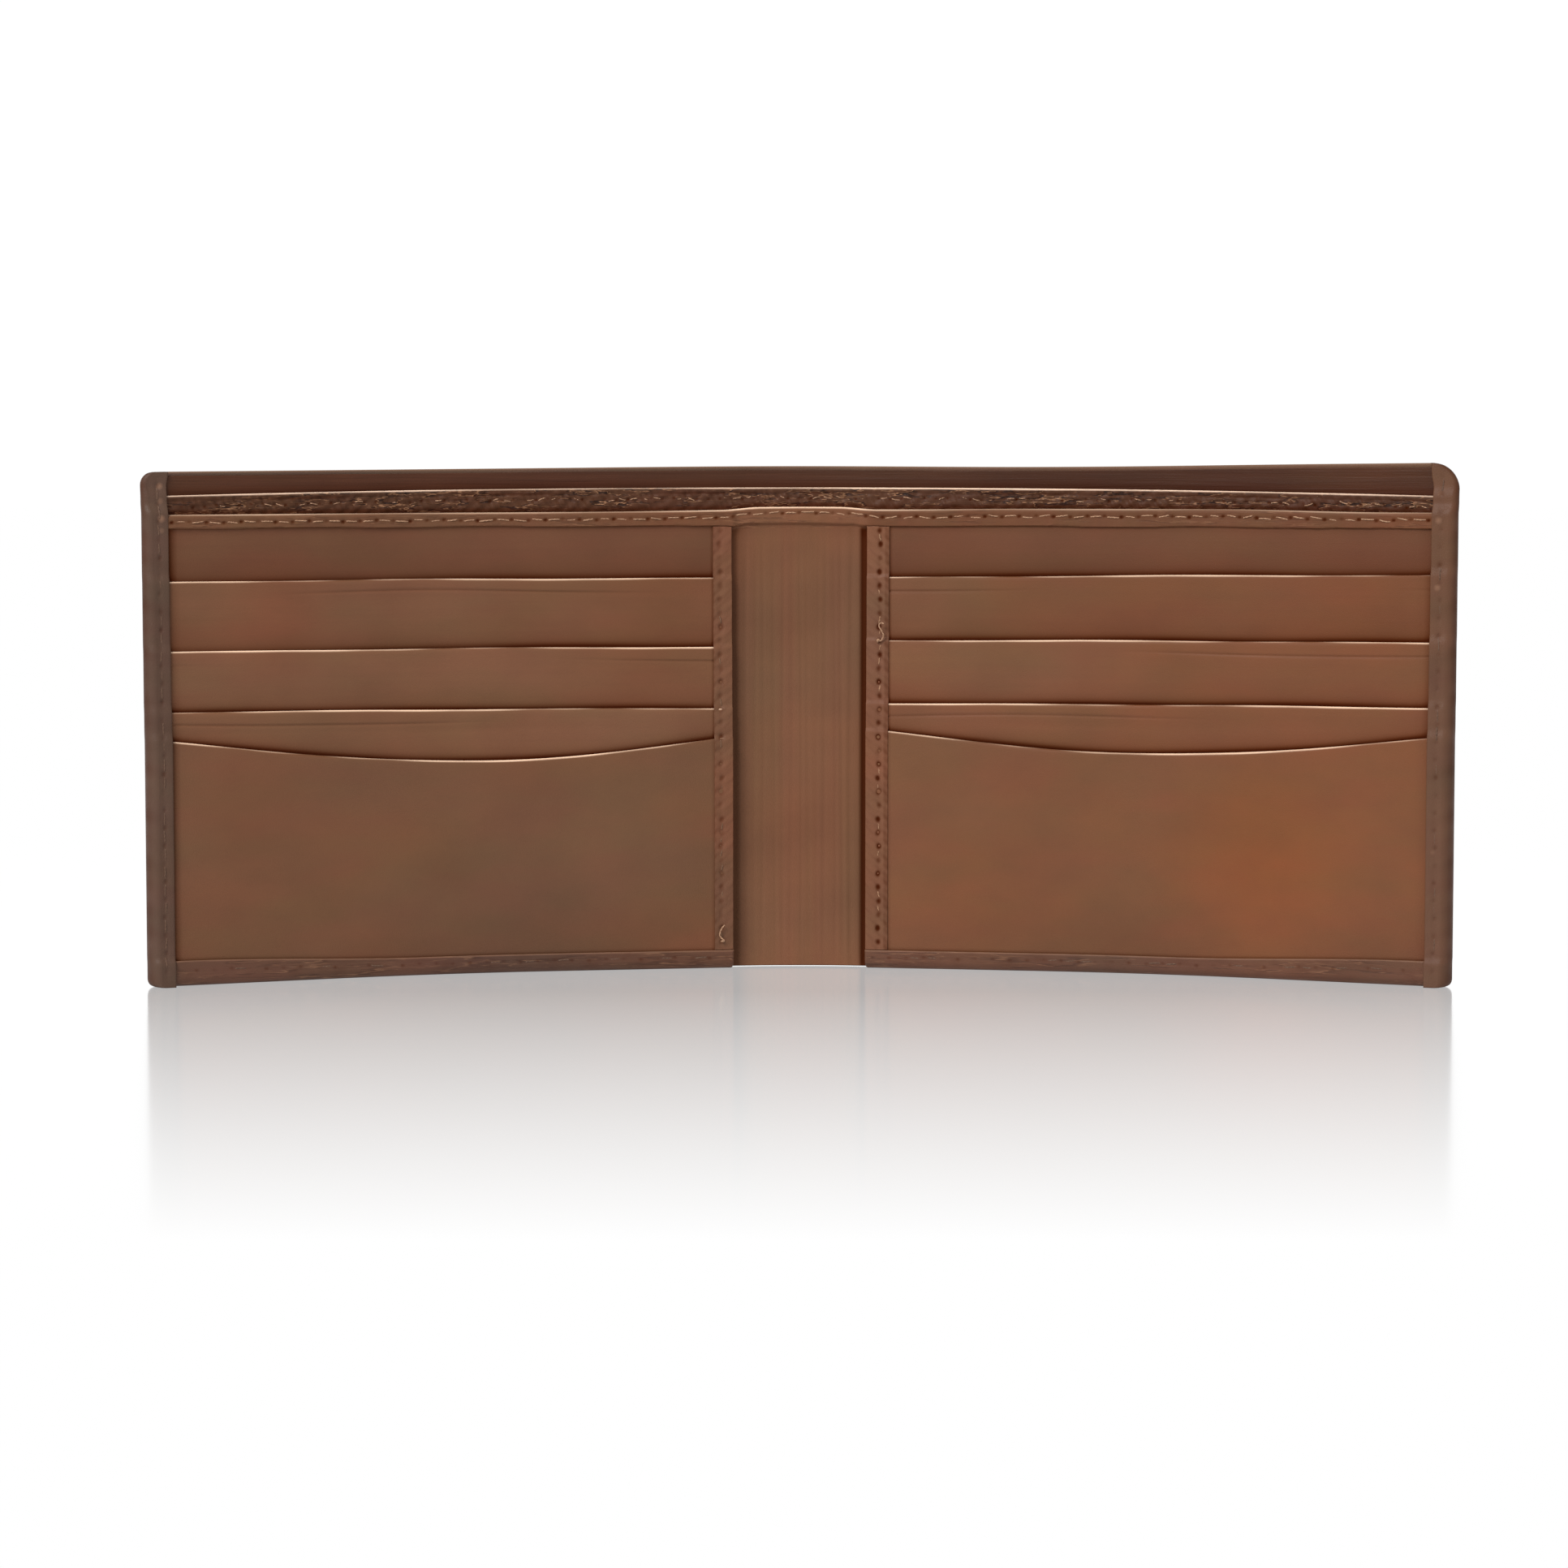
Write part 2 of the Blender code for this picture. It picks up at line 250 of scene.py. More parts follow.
def front_of(layer, a, z):
    return back_of(layer, a, z) + LEVELS[layer][1]


def stack_depth(side, a, z, soft=0.8):
    """Depth of the card stack's face, which steps forward softly at each mouth."""
    n = FACES["stack_base"] + 0 * z
    for k, (under, over) in enumerate(zip(STACK, STACK[1:])):
        n = n + (FACES[over] - FACES[under]) * smooth((mouth(side, k, a) - z) / soft + 0.8)
    return n


def drape(side, z):
    """Depth of what the side hem lies on, from the lining at its top to the foot of the stack."""
    n = FACES["lining"] - FACES["stack_base"] + stack_depth(side, LAYER_END, z, 2.2)
    steps = ((DIVIDER_TOP - 1.2, "lining", "divider"), (PANEL_TOP - 0.5, "divider", "stack_base"))
    for height, under, over in steps:
        n = n + (FACES[over] - FACES[under]) * smooth((height - z) / 2.2 + 0.8)
    return n + (FLAP + PLAY) * smooth((bottom_hem_top(END) - z) / 1.4 + 0.6)


def cover_weight(a, z):
    """How far a point of the shell, lining or divider goes with the opening of the note compartment."""
    return across(a) * smooth((z - COVER_PIVOT) / 32)


def spine_relief(s, z):
    """The upright creases of the soft middle of the spine."""
    relief = 0 * s * z
    for at, depth in SPINE_CREASES:
        drift = 0.25 * np.sin(z / 23 + at)
        relief = relief - depth * ridge(s - at - drift, 0.3)
    relief = relief * smooth((PANEL_TOP - 4 - z) / 8) * smooth((z + 4) / 12)
    gap = np.where(s > 0, 0.34, 0.22) * ridge(np.abs(s) - 12.0, 0.55)
    return relief - gap * smooth((PANEL_TOP - 3.4 - z) / 1.5)


# ---------------- meshes

def lines(start, end, coarse, *dense, rims=(0, 0)):
    """Positions from start to end, closer together near each (place, reach, step) of dense.
    rims are the radii of the rounded edges at the two ends."""
    at = [start]
    while at[-1] < end - 1e-9:
        steps = [fine + 0.4 * max(0.0, abs(at[-1] - centre) - reach) for centre, reach, fine in dense]
        steps += [0.35 * radius + 0.4 * abs(at[-1] - edge)
                  for radius, edge in zip(rims, (start, end)) if radius]
        at.append(at[-1] + min([coarse] + steps))
    at = np.array(at)
    at = start + (at - start) * (end - start) / (at[-1] - start)
    for radius, edge, way in ((rims[0], start, 1), (rims[1], end, -1)):
        if radius:
            turned = edge + way * radius * (1 - np.cos(np.radians([22.5, 45, 67.5, 90])))
            at = np.concatenate([at[(at == edge) | (np.abs(at - edge) > 1.25 * radius)], turned])
    return np.unique(at)


def leaf(front, back):
    """Faces of a closed leaf between two grids of points, which share points where they touch."""
    rows, cols = front.shape[:2]
    together = np.linalg.norm(front - back, axis=-1) < 1e-7
    front_id = np.arange(rows * cols).reshape(rows, cols)
    back_id = np.where(together, front_id, front_id + rows * cols)

    def squares(ids):
        return np.stack([ids[:-1, :-1], ids[1:, :-1], ids[1:, 1:], ids[:-1, 1:]], -1).reshape(-1, 4)

    faces = [tuple(q) for q in squares(front_id).tolist()]
    faces += [tuple(q[::-1]) for q in squares(back_id).tolist()]
    edges = (
        (front_id[::-1, 0], back_id[::-1, 0]),
        (front_id[:, -1], back_id[:, -1]),
        (front_id[0, :], back_id[0, :]),
        (front_id[-1, ::-1], back_id[-1, ::-1]),
    )
    for f, b in edges:
        for p, q, r, t in zip(f[:-1].tolist(), f[1:].tolist(), b[1:].tolist(), b[:-1].tolist()):
            corner = tuple(dict.fromkeys((p, q, r, t)))
            if len(corner) > 2:
                faces.append(corner)
    return faces


PLACES = {}                      # the (s, n, z) points of each piece


def build(name, points, faces, skin, rim, shade, sharp=60):
    """A mesh object of (s, n, z) points, without the points that no face uses.
    skin, rim and shade are what the materials read: the place on the leather, how near a cut
    edge is, and how strong the painted shade of folds, gaps and needle holes is, mixed with some
    wear and a darker tone on some layers."""
    used = np.unique(np.array([i for face in faces for i in face]))
    new_id = np.zeros(len(points), int)
    new_id[used] = np.arange(len(used))
    points = points[used]
    world = place(points[:, 0], points[:, 1], points[:, 2])
    faces = [tuple(new_id[list(face)].tolist()) for face in faces]
    if volume(world, faces) < 0:
        faces = [face[::-1] for face in faces]
    mesh = bpy.data.meshes.new(name)
    mesh.from_pydata(world.tolist(), [], faces)
    for label, kind, field, values in (("skin", "FLOAT_VECTOR", "vector", skin),
                                       ("rim", "FLOAT", "value", rim), ("shade", "FLOAT", "value", shade)):
        data = mesh.attributes.new(label, kind, "POINT").data
        data.foreach_set(field, values[used].astype(np.float32).ravel())
    mesh.shade_smooth()
    mesh.set_sharp_from_angle(angle=math.radians(sharp))
    obj = bpy.data.objects.new(name, mesh)
    bpy.context.scene.collection.objects.link(obj)
    PLACES[name] = points
    return obj


def volume(world, faces):
    """Six times a closed mesh's volume, which is below 0 when its faces look inwards."""
    total = 0.0
    for corners in ([face[:3] for face in faces],
                    [(face[0], face[2], face[3]) for face in faces if len(face) == 4]):
        p, q, r = (world[ids] for ids in np.array(corners).T)
        total += np.einsum("ij,ij->i", p, np.cross(q, r)).sum()
    return total


def edge_distance(grid_a, grid_z, rounded):
    """Distance from each point of a grid to its nearest rounded edge: start, end, foot or top."""
    far = np.full(grid_a.shape, 99.0)
    edges = ((grid_a, grid_a[:1]), (grid_a, grid_a[-1:]), (grid_z, grid_z[:, :1]), (grid_z, grid_z[:, -1:]))
    for (grid, edge), is_round in zip(edges, rounded):
        if is_round:
            far = np.minimum(far, np.abs(grid - edge))
    return far


def roundness(distance, radius):
    """Share of the full thickness that is left, near a rounded edge."""
    return np.sqrt(np.clip(1 - (1 - np.clip(distance / radius, 0, 1)) ** 2, 0, 1))


def leaf_piece(name, grids, skins, rim, dark):
    """A piece between its outer and its inner grid of points, with what its material reads."""
    points, skin = (np.concatenate([grid.reshape(-1, 3) for grid in pair]) for pair in (grids, skins))
    return build(name, points, leaf(*grids), skin, np.tile(rim.ravel(), 2), np.tile(dark.ravel(), 2))


def sheet(name, side, layer, a_lines, z_lines, foot, top, rounded=(True,) * 4, relief=None,
          back_relief=None, shade=None, shape=None, lie=back_of, pale=None):
    """One layer of leather. z_lines say how its points are spread from foot to top, which are its
    true ends at each a. pale gives how pale its top edge is at each a: the cut edge's own paler
    colour and a painted highlight."""
    share = (z_lines - z_lines[0]) / (z_lines[-1] - z_lines[0])
    a_grid, share = np.meshgrid(a_lines, share, indexing="ij")
    low, high = foot(a_grid), top(a_grid)
    z_grid = low + (high - low) * share
    if shape:
        a_grid = shape(a_grid, z_grid)
    s_grid = SIDES[side] * a_grid
    level, thick = LEVELS[layer]
    distance = edge_distance(a_grid, z_grid, rounded)
    half = thick / 2 * roundness(distance, thick / 2)
    middle = lie(layer, a_grid, z_grid) + thick / 2
    grids = []
    for n_grid, bumps in ((middle + half, relief), (middle - half, back_relief)):
        if bumps:
            n_grid = n_grid + bumps(a_grid, z_grid) * roundness(distance, 0.6)
        grids.append(np.stack([s_grid, n_grid, z_grid], -1))
    skin = np.stack([s_grid, z_grid, 0 * z_grid + 7 * level], -1)
    rim = ridge(np.abs(z_grid - z_grid[:, -1:]), 0.25) * (pale(a_grid) if pale else 0)
    dark = TONE.get(layer, 0) + (np.clip(shade(a_grid, z_grid), 0, 1) if shade else 0 * z_grid)
    return leaf_piece(name, grids, (skin, skin + np.array([0, 0, 50])), rim, dark)


def hem_path(start, stop, turn_at, reach, before, backs, flap):
    """The middle of a hem that runs out behind the layers, round their edge and back in front of
    them. before is its depth in front. Gives how far out its points are, and how deep."""
    behind = LEVELS["shell"][1] / 2
    half = (before - behind) / 2
    rows = [(start + (turn_at - start) * t, behind) for t in np.linspace(0, 1, backs)[:-1]]
    rows += [(turn_at + reach * math.cos(angle), behind + half * (1 + math.sin(angle)))
             for angle in np.radians(np.linspace(-90, 90, 15))]
    rows += [(turn_at + (stop - turn_at) * t, before) for t in flap]
    return [np.array([np.broadcast_to(value, before.shape) for value in column]) for column in zip(*rows)]


def bent_hem(name, side, path, thins, rounded_ends, shade, press, pale, upright=True, rubbed=None):
    """A hem turned round an edge. path gives (a, n, z) grids of its middle; the thickness is laid
    off to both sides, across the path, and thins says where it starts to be skived, and over how
    much of the path."""
    a_grid, n_grid, z_grid = path
    along, sideways = (a_grid, z_grid) if upright else (z_grid, a_grid)
    d_along, d_n = np.gradient(along, axis=0), np.gradient(n_grid, axis=0)
    length = np.hypot(d_along, d_n) + 1e-12
    out_along, out_n = d_n / length, -d_along / length
    steps = [np.diff(grid, axis=0, prepend=grid[:1]) for grid in (along, n_grid)]
    travelled = np.cumsum(np.hypot(*steps), axis=0)
    to_end = travelled[-1:] - travelled
    distance = to_end
    for end, is_round in zip((0, -1), rounded_ends):
        if is_round:
            distance = np.minimum(distance, np.abs(sideways - sideways[:, [end]]))
    shell = LEVELS["shell"][1]
    share = np.linspace(0, 1, len(along))[:, None]
    thick = shell + (FLAP - shell) * smooth((share - thins[0]) / thins[1])
    half = thick / 2 * roundness(distance, thick / 2)
    n_grid = n_grid + press(a_grid, z_grid) * (out_n > 0.7) * roundness(distance, 0.5)
    grids = []
    for sign in (1, -1):
        moved = along + sign * half * out_along
        a, z = (moved, z_grid) if upright else (a_grid, moved)
        grids.append(np.stack([SIDES[side] * a, n_grid + sign * half * out_n, z], -1))
    a, z = (a_grid[:1] + travelled, z_grid) if upright else (a_grid, z_grid[:1] - travelled)
    skin = np.stack([SIDES[side] * a, z, 0 * z + 50], -1)
    rim = pale * ridge(to_end, 0.3) + (rubbed(a_grid, z_grid) * (out_n > 0) if rubbed else 0)
    return leaf_piece(name, grids, (skin, skin), rim, np.clip(shade(a_grid, z_grid), 0, 1))


# ---------------- seams

class Seam:
    """A row of stitches between first and last. An upright one runs up z at a fixed a, and
    any other runs along a at the height that at(a) gives. hole and line are how dark the painted
    shade in the needle holes and in the pressed line between them is, and reach is the size of a hole."""

    def __init__(self, upright, at, first, last, pitch, hole=0.9, line=0.15, reach=0.3):
        self.upright = upright
        self.at = at
        self.first = first
        self.count = max(1, round((last - first) / pitch))
        self.pitch = (last - first) / self.count
        self.hole, self.line, self.reach = hole, line, reach

    def offsets(self, a, z):
        """How far a point is from the row, and along it from the nearest needle hole."""
        run, off = (z, a - self.at) if self.upright else (a, z - self.at(a))
        step = (run - self.first) / self.pitch
        nearest = np.clip(np.round(step), 0, self.count)
        worn = 0.65 + 0.35 * np.sin(2.4 * nearest) * np.sin(0.7 * nearest + 1)
        return off + 0.12 * np.sin(1.7 * nearest), (step - nearest) * self.pitch, worn

    def relief(self, a, z):
        off, along, worn = self.offsets(a, z)
        inside = np.abs(along) <= self.pitch / 2
        hole = 0.22 * ridge(np.hypot(off, along), self.reach) * worn
        valley = 0.07 * ridge(off, 0.55) * inside
        return -hole - valley

    def shade(self, a, z):
        off, along, worn = self.offsets(a, z)
        hole = self.hole * worn * np.exp(-(np.hypot(off, 0.8 * along) / self.reach) ** 3)
        return hole + self.line * ridge(off, 0.5) * (np.abs(along) <= self.pitch / 2)

    def stitches(self, gap):
        """Middle and half length of each stitch."""
        middles = self.first + (np.arange(self.count) + 0.5) * self.pitch
        return middles, (self.pitch - gap) / 2


RING = 8
KNOTS = np.linspace(-1, 1, 9)


def tube(centres, radii, side_axis):
    """Points and faces of one closed thread along centres, an array of (s, n, z)."""
    angle = np.linspace(0, 2 * math.pi, RING, endpoint=False)
    across_axis = np.array(side_axis, float)
    tangent = np.gradient(centres, axis=0)
    tangent /= np.linalg.norm(tangent, axis=1)[:, None] + 1e-12
    right = np.cross(tangent, across_axis)
    right /= np.linalg.norm(right, axis=1)[:, None] + 1e-12
    up = np.cross(right, tangent)
    ring = centres[:, None] + radii[:, None, None] * (
        np.cos(angle)[None, :, None] * right[:, None] + np.sin(angle)[None, :, None] * up[:, None])
    points = np.concatenate([ring.reshape(-1, 3), centres[:1], centres[-1:]])
    count = len(centres)
    faces = []
    for i in range(count - 1):
        for j in range(RING):
            k = (j + 1) % RING
            faces.append((i * RING + j, i * RING + k, (i + 1) * RING + k, (i + 1) * RING + j))
    for j in range(RING):
        k = (j + 1) % RING
        faces.append((count * RING, k, j))
        last = (count - 1) * RING
        faces.append((count * RING + 1, last + j, last + k))
    run = np.concatenate([[0], np.cumsum(np.linalg.norm(np.diff(centres, axis=0), axis=1))])
    skin = np.stack([np.repeat(run, RING), np.tile(angle, count), np.zeros(count * RING)], -1)
    skin = np.concatenate([skin, [[0, 0, 0], [run[-1], 0, 0]]])
    return points, faces, skin


def thread_row(name, side, seam, surface, only=None, mess=1.0, size=1.0, sunk=0.0, gap=0.42,
               facing=1):
    """The stitches of a seam as one object. surface gives the depth of the leather's face, and
    sunk how deep the stitches are drawn into it at most. facing is -1 on the wallet's back."""
    middles, half = seam.stitches(gap)
    parts = []
    for middle in middles:
        if only and not only[0] <= middle <= only[1]:
            continue
        length = half * RNG.uniform(max(0.45, 0.97 - 0.06 * mess), 1.02)
        slant = RNG.uniform(-0.06, 0.06) * mess
        shift = RNG.uniform(-0.05, 0.05) * mess
        bow = RNG.uniform(-0.03, 0.03) * mess
        off = shift + slant * KNOTS + bow * KNOTS ** 2
        run = middle + KNOTS * length
        if seam.upright:
            a, z = seam.at + off, run
        else:
            a, z = run, seam.at(run) + off
        dip = 0.07 - 0.34 * np.abs(KNOTS) ** 7 - sunk * RNG.random()
        n = surface(a, z) + facing * dip
        centres = np.stack([SIDES[side] * a, n + 0 * a, z + 0 * a], -1)
        radii = size * THREAD_RADIUS * RNG.uniform(0.85, 1.06) * (1 - 0.3 * np.abs(KNOTS) ** 5)
        parts.append((centres, radii))
    return threads(name, parts)


def threads(name, parts):
    points, faces, skin, start = [], [], [], 0
    for index, (centres, radii) in enumerate(parts):
        p, f, k = tube(centres, radii, (0, 1, 0))
        k[:, 2] = index
        points.append(p)
        faces += [tuple(i + start for i in face) for face in f]
        skin.append(k)
        start += len(p)
    points, skin = np.concatenate(points), np.concatenate(skin)
    nothing = np.zeros(len(points))
    return build(name, points, faces, skin, nothing, nothing, sharp=80)


def curl(knots, count=28):
    """A smooth loose thread through a few (s, n, z) points."""
    knots = np.array(knots, float)
    t = np.linspace(0, len(knots) - 1, count)
    i = np.clip(t.astype(int), 0, len(knots) - 2)
    u = (t - i)[:, None]
    before, after = knots[np.clip(i - 1, 0, None)], knots[np.clip(i + 2, None, len(knots) - 1)]
    p, q = knots[i], knots[i + 1]
    return 0.5 * (2 * p + (q - before) * u + (2 * before - 5 * p + 4 * q - after) * u ** 2
                  + (3 * p - before - 3 * q + after) * u ** 3)


# ---------------- materials

def srgb(*colour):
    """A colour as seen on a screen, 0 to 255, as Blender's linear values."""
    linear = [x / 255 / 12.92 if x <= 10 else ((x / 255 + 0.055) / 1.055) ** 2.4 for x in colour]
    return (*linear, 1)


class Shader:
    """A material and short calls that add its nodes."""

    def __init__(self, name):
        self.material = bpy.data.materials.new(name)
        self.material.use_nodes = True
        self.tree = self.material.node_tree
        self.tree.nodes.clear()

    def add(self, kind, inputs, **settings):
        node = self.tree.nodes.new("ShaderNode" + kind)
        for key, value in settings.items():
            setattr(node, key, value)
        for key, value in inputs.items():
            if isinstance(value, bpy.types.NodeSocket):
                self.tree.links.new(value, node.inputs[key])
            else:
                node.inputs[key].default_value = value
        return node

    def place(self):
        return self.add("Attribute", {}, attribute_name="skin").outputs["Vector"]

    def value(self, name):
        return self.add("Attribute", {}, attribute_name=name).outputs["Fac"]

    def scaled(self, vector, scale):
        return self.add("Mapping", {"Vector": vector, "Scale": scale}).outputs[0]

    def noise(self, vector, scale, detail=3.0, roughness=0.5):
        spread = self.scaled(vector, scale)
        inputs = {"Vector": spread, "Scale": 1.0, "Detail": detail, "Roughness": roughness}
        return self.add("TexNoise", inputs).outputs["Fac"]

    def fit(self, value, low, high, to_low=0.0, to_high=1.0):
        inputs = {"Value": value, "From Min": low, "From Max": high, "To Min": to_low, "To Max": to_high}
        return self.add("MapRange", inputs).outputs["Result"]

    def maths(self, operation, first, second):
        return self.add("Math", {0: first, 1: second}, operation=operation).outputs[0]

    def mix(self, share, first, second, blend="MIX"):
        node = self.add("Mix", {0: share, 6: first, 7: second}, data_type="RGBA", blend_type=blend)
        return node.outputs[2]

    def finish(self, colour, roughness, height, sheen):
        bump = self.add("Bump", {"Height": height, "Distance": MM, "Strength": 1.0})
        surface = self.add("BsdfPrincipled", {"Base Color": colour, "Roughness": roughness,
                                              "Normal": bump.outputs[0], "Specular IOR Level": sheen})
        self.add("OutputMaterial", {"Surface": surface.outputs[0]})
        return self.material


# soft patches in the leather's colour: along s, up z, reach, and a tint. PATCHES are for every
# leather that names no others.
PATCHES = (
    (87, 22, 24, (1.12, 0.98, 0.76)), (-103, 34, 20, (1.08, 0.97, 0.92)), (-52, 2, 32, (0.78, 0.81, 0.88)),
    (-22, 16, 18, (0.89, 0.94, 0.98)), (-98, 66, 16, (1.10, 0.94, 0.90)), (105, 70, 18, (1.05, 0.95, 0.88)),
    (60, 2, 28, (0.82, 0.88, 0.96)), (36, 66, 20, (0.93, 1.0, 0.98)), (-60, 44, 22, (0.98, 1.02, 1.0)),
    (110, 2, 18, (0.88, 0.91, 0.96)), (110, 80, 22, (0.95, 1.0, 1.02)),
)
SPINE_PATCHES = (
    (-12, 66, 26, (0.85, 0.92, 0.97)), (-12, 40, 26, (0.94, 0.98, 1.0)), (1, 62, 16, (1.05, 0.98, 0.93)),
    (3, 20, 22, (1.03, 0.98, 0.95)), (13, 64, 26, (0.85, 0.91, 0.92)), (13, 22, 24, (0.86, 0.93, 0.96)),
    (70, 82, 60, (0.87, 0.99, 1.07)), (-50, 82, 50, (0.95, 0.98, 1.02)),
)
LINING_PATCHES = ((104, 89, 24, (1.28, 1.36, 1.25)),)
HEM_PATCHES = ((116, 82, 44, (1.0, 0.94, 0.84)),)
WARM_TINT, COOL_TINT = (1.04, 0.965, 0.98, 1), (0.975, 1.01, 0.97, 1)
# the first colour is painted shade in creases, the second a painted highlight on their lips, the third the
# painted shade of folds, gaps and needle holes, with some wear
CRACK_SHADE, LIP_HIGHLIGHT, SHADE_AND_WEAR = srgb(34, 16, 9), srgb(196, 146, 108), srgb(56, 19, 5)


def leather(name, cool, warm, dark, edge, streak=(0.02, 0.7), share=0.07, rough=(0.46, 0.58), pores=1.0,
            creases=None, patches=PATCHES, hues=(0.05, 0.15)):
    """Smooth full-grain leather: cloudy colour that is warmer on the right half, faint rubbed
    streaks, fine pores, cut edges that are paler with a painted highlight on them, and painted
    shade in folds and gaps. creases are thin wrinkles, dark with painted shade, with a painted
    highlight on a lip beside them: their scale along and up, their strength and the height that
    they start at. patches are soft places of another tint, as along, up, reach and tint. hues is
    the scale of the slow colour drift."""
    cool, warm, dark, edge = (srgb(*colour) for colour in (cool, warm, dark, edge))
    shader = Shader(name)
    fit, maths, mix = shader.fit, shader.maths, shader.mix
    skin = shader.place()
    flat = shader.scaled(skin, (1, 1, 0))
    split = shader.add("SeparateXYZ", {"Vector": skin})
    cloud = shader.noise(skin, (0.022, 0.03, 1.0), 2.0)
    blotch = shader.noise(skin, (0.07, 0.10, 1.0), 3.0, 0.5)
    rubbed = shader.noise(skin, (*streak, 1.0), 3.0, 0.6)
    fine_rub = shader.noise(skin, (streak[0] * 3, streak[1] * 3, 1.0), 2.0, 0.5)
    drift = maths("ADD", fit(split.outputs["X"], -95, 95), fit(cloud, 0.3, 0.7, -0.3, 0.3))
    colour = mix(fit(drift, 0.1, 0.9), cool, warm)
    colour = mix(fit(blotch, 0.35, 0.75, 0.0, 0.3), colour, dark)
    hue = fit(shader.noise(skin, (*hues, 1.0), 2.0), 0.35, 0.65)
    colour = mix(1.0, colour, mix(hue, WARM_TINT, COOL_TINT), "MULTIPLY")
    for s, z, reach, tint in patches:
        gap = shader.add("VectorMath", {0: flat, 1: (s, z, 0)}, operation="DISTANCE").outputs["Value"]
        inputs = {"Value": gap, "From Min": 0, "From Max": reach, "To Min": 1, "To Max": 0}
        near = shader.add("MapRange", inputs, interpolation_type="SMOOTHSTEP").outputs[0]
        colour = mix(near, colour, mix(1.0, colour, tint + (1,), "MULTIPLY"))
    colour = mix(fit(rubbed, 0.42, 0.72, 0.0, share), colour, dark)
    colour = mix(fit(fine_rub, 0.55, 0.8, 0.0, share), colour, warm)
    inputs = {"Vector": shader.scaled(skin, (2.1, 2.3, 1.0)), "Scale": 1.0, "Randomness": 1.0}
    cells = shader.add("TexVoronoi", inputs, feature="DISTANCE_TO_EDGE")
    pore = fit(cells.outputs["Distance"], 0.0, 0.16, 0.0, 0.010 * pores)
    grain = fit(shader.noise(skin, (5.5, 5.5, 1.0), 3.0, 0.6), 0.3, 0.7, 0.0, 0.016 * pores)
    rub = fit(rubbed, 0.3, 0.7, 0.0, 0.25 * share)
    height = maths("ADD", maths("ADD", pore, grain), rub)
    if creases:
        along, up, strength, above = creases
        line = maths("SUBTRACT", shader.noise(skin, (along, up, 1.0), 3.0, 0.6), 0.5)
        crack = fit(maths("ABSOLUTE", line, 0.0), 0.006, 0.03, 1.0, 0.0)
        lip = fit(maths("ABSOLUTE", maths("SUBTRACT", line, 0.04), 0.0), 0.004, 0.016, 1.0, 0.0)
        here = maths("MULTIPLY", fit(split.outputs["Y"], above, above + 1.0), strength)
        patchy = fit(shader.noise(skin, (0.09, 0.5, 3.0), 1.0), 0.4, 0.6, 0.15, 1.0)
        here = maths("MULTIPLY", here, patchy)
        crack = maths("MULTIPLY", crack, here)
        # painted shade in the crack and a painted highlight on its lip
        colour = mix(crack, colour, CRACK_SHADE)
        colour = mix(maths("MULTIPLY", lip, maths("MULTIPLY", here, 0.4)), colour, LIP_HIGHLIGHT)
        height = maths("SUBTRACT", height, maths("MULTIPLY", crack, 0.08))
    # cut edges: their own paler colour with a painted highlight on them
    colour = mix(fit(shader.value("rim"), 0.15, 0.75, 0.0, 0.9), colour, edge)
    # painted shade of folds, gaps and needle holes, with some wear mixed in; the painted shade also takes the
    # reflection away
    shade = shader.value("shade")
    colour = mix(fit(shade, 0.0, 1.0, 0.0, 0.96), colour, SHADE_AND_WEAR)
    gloss = fit(blotch, 0.3, 0.7, *rough)
    return shader.finish(colour, gloss, height, fit(shade, 0.1, 0.7, 0.18, 0.0))


def thread_material(name, pale, dark):
    """Twisted thread: two plies that wind round each other, with a soft shade between them."""
    pale, dark = srgb(*pale), srgb(*dark)
    shader = Shader(name)
    fit, maths, mix = shader.fit, shader.maths, shader.mix
    skin = shader.place()
    split = shader.add("SeparateXYZ", {"Vector": skin})
    run, turn = (maths("MULTIPLY", split.outputs[axis], rate) for axis, rate in (("X", 9.0), ("Y", 2.0)))
    ply = shader.add("Math", {0: maths("ADD", run, turn)}, operation="SINE").outputs[0]
    fuzz = shader.noise(skin, (3.0, 1.5, 7.3), 3.0)
    colour = mix(fit(fuzz, 0.35, 0.62, 0.0, 0.9), pale, dark)
    colour = mix(fit(ply, -1.0, -0.2, 0.5, 0.0), colour, dark)
    height = fit(ply, -1.0, 1.0, 0.0, 0.05)
    return shader.finish(colour, fit(fuzz, 0.3, 0.7, 0.55, 0.75), height, 0.3)


# paler cut edges, with a painted highlight in them
EDGE = (240, 204, 174)
HEM_LOOK = dict(streak=(0.5, 0.12), rough=(0.42, 0.54), patches=HEM_PATCHES)
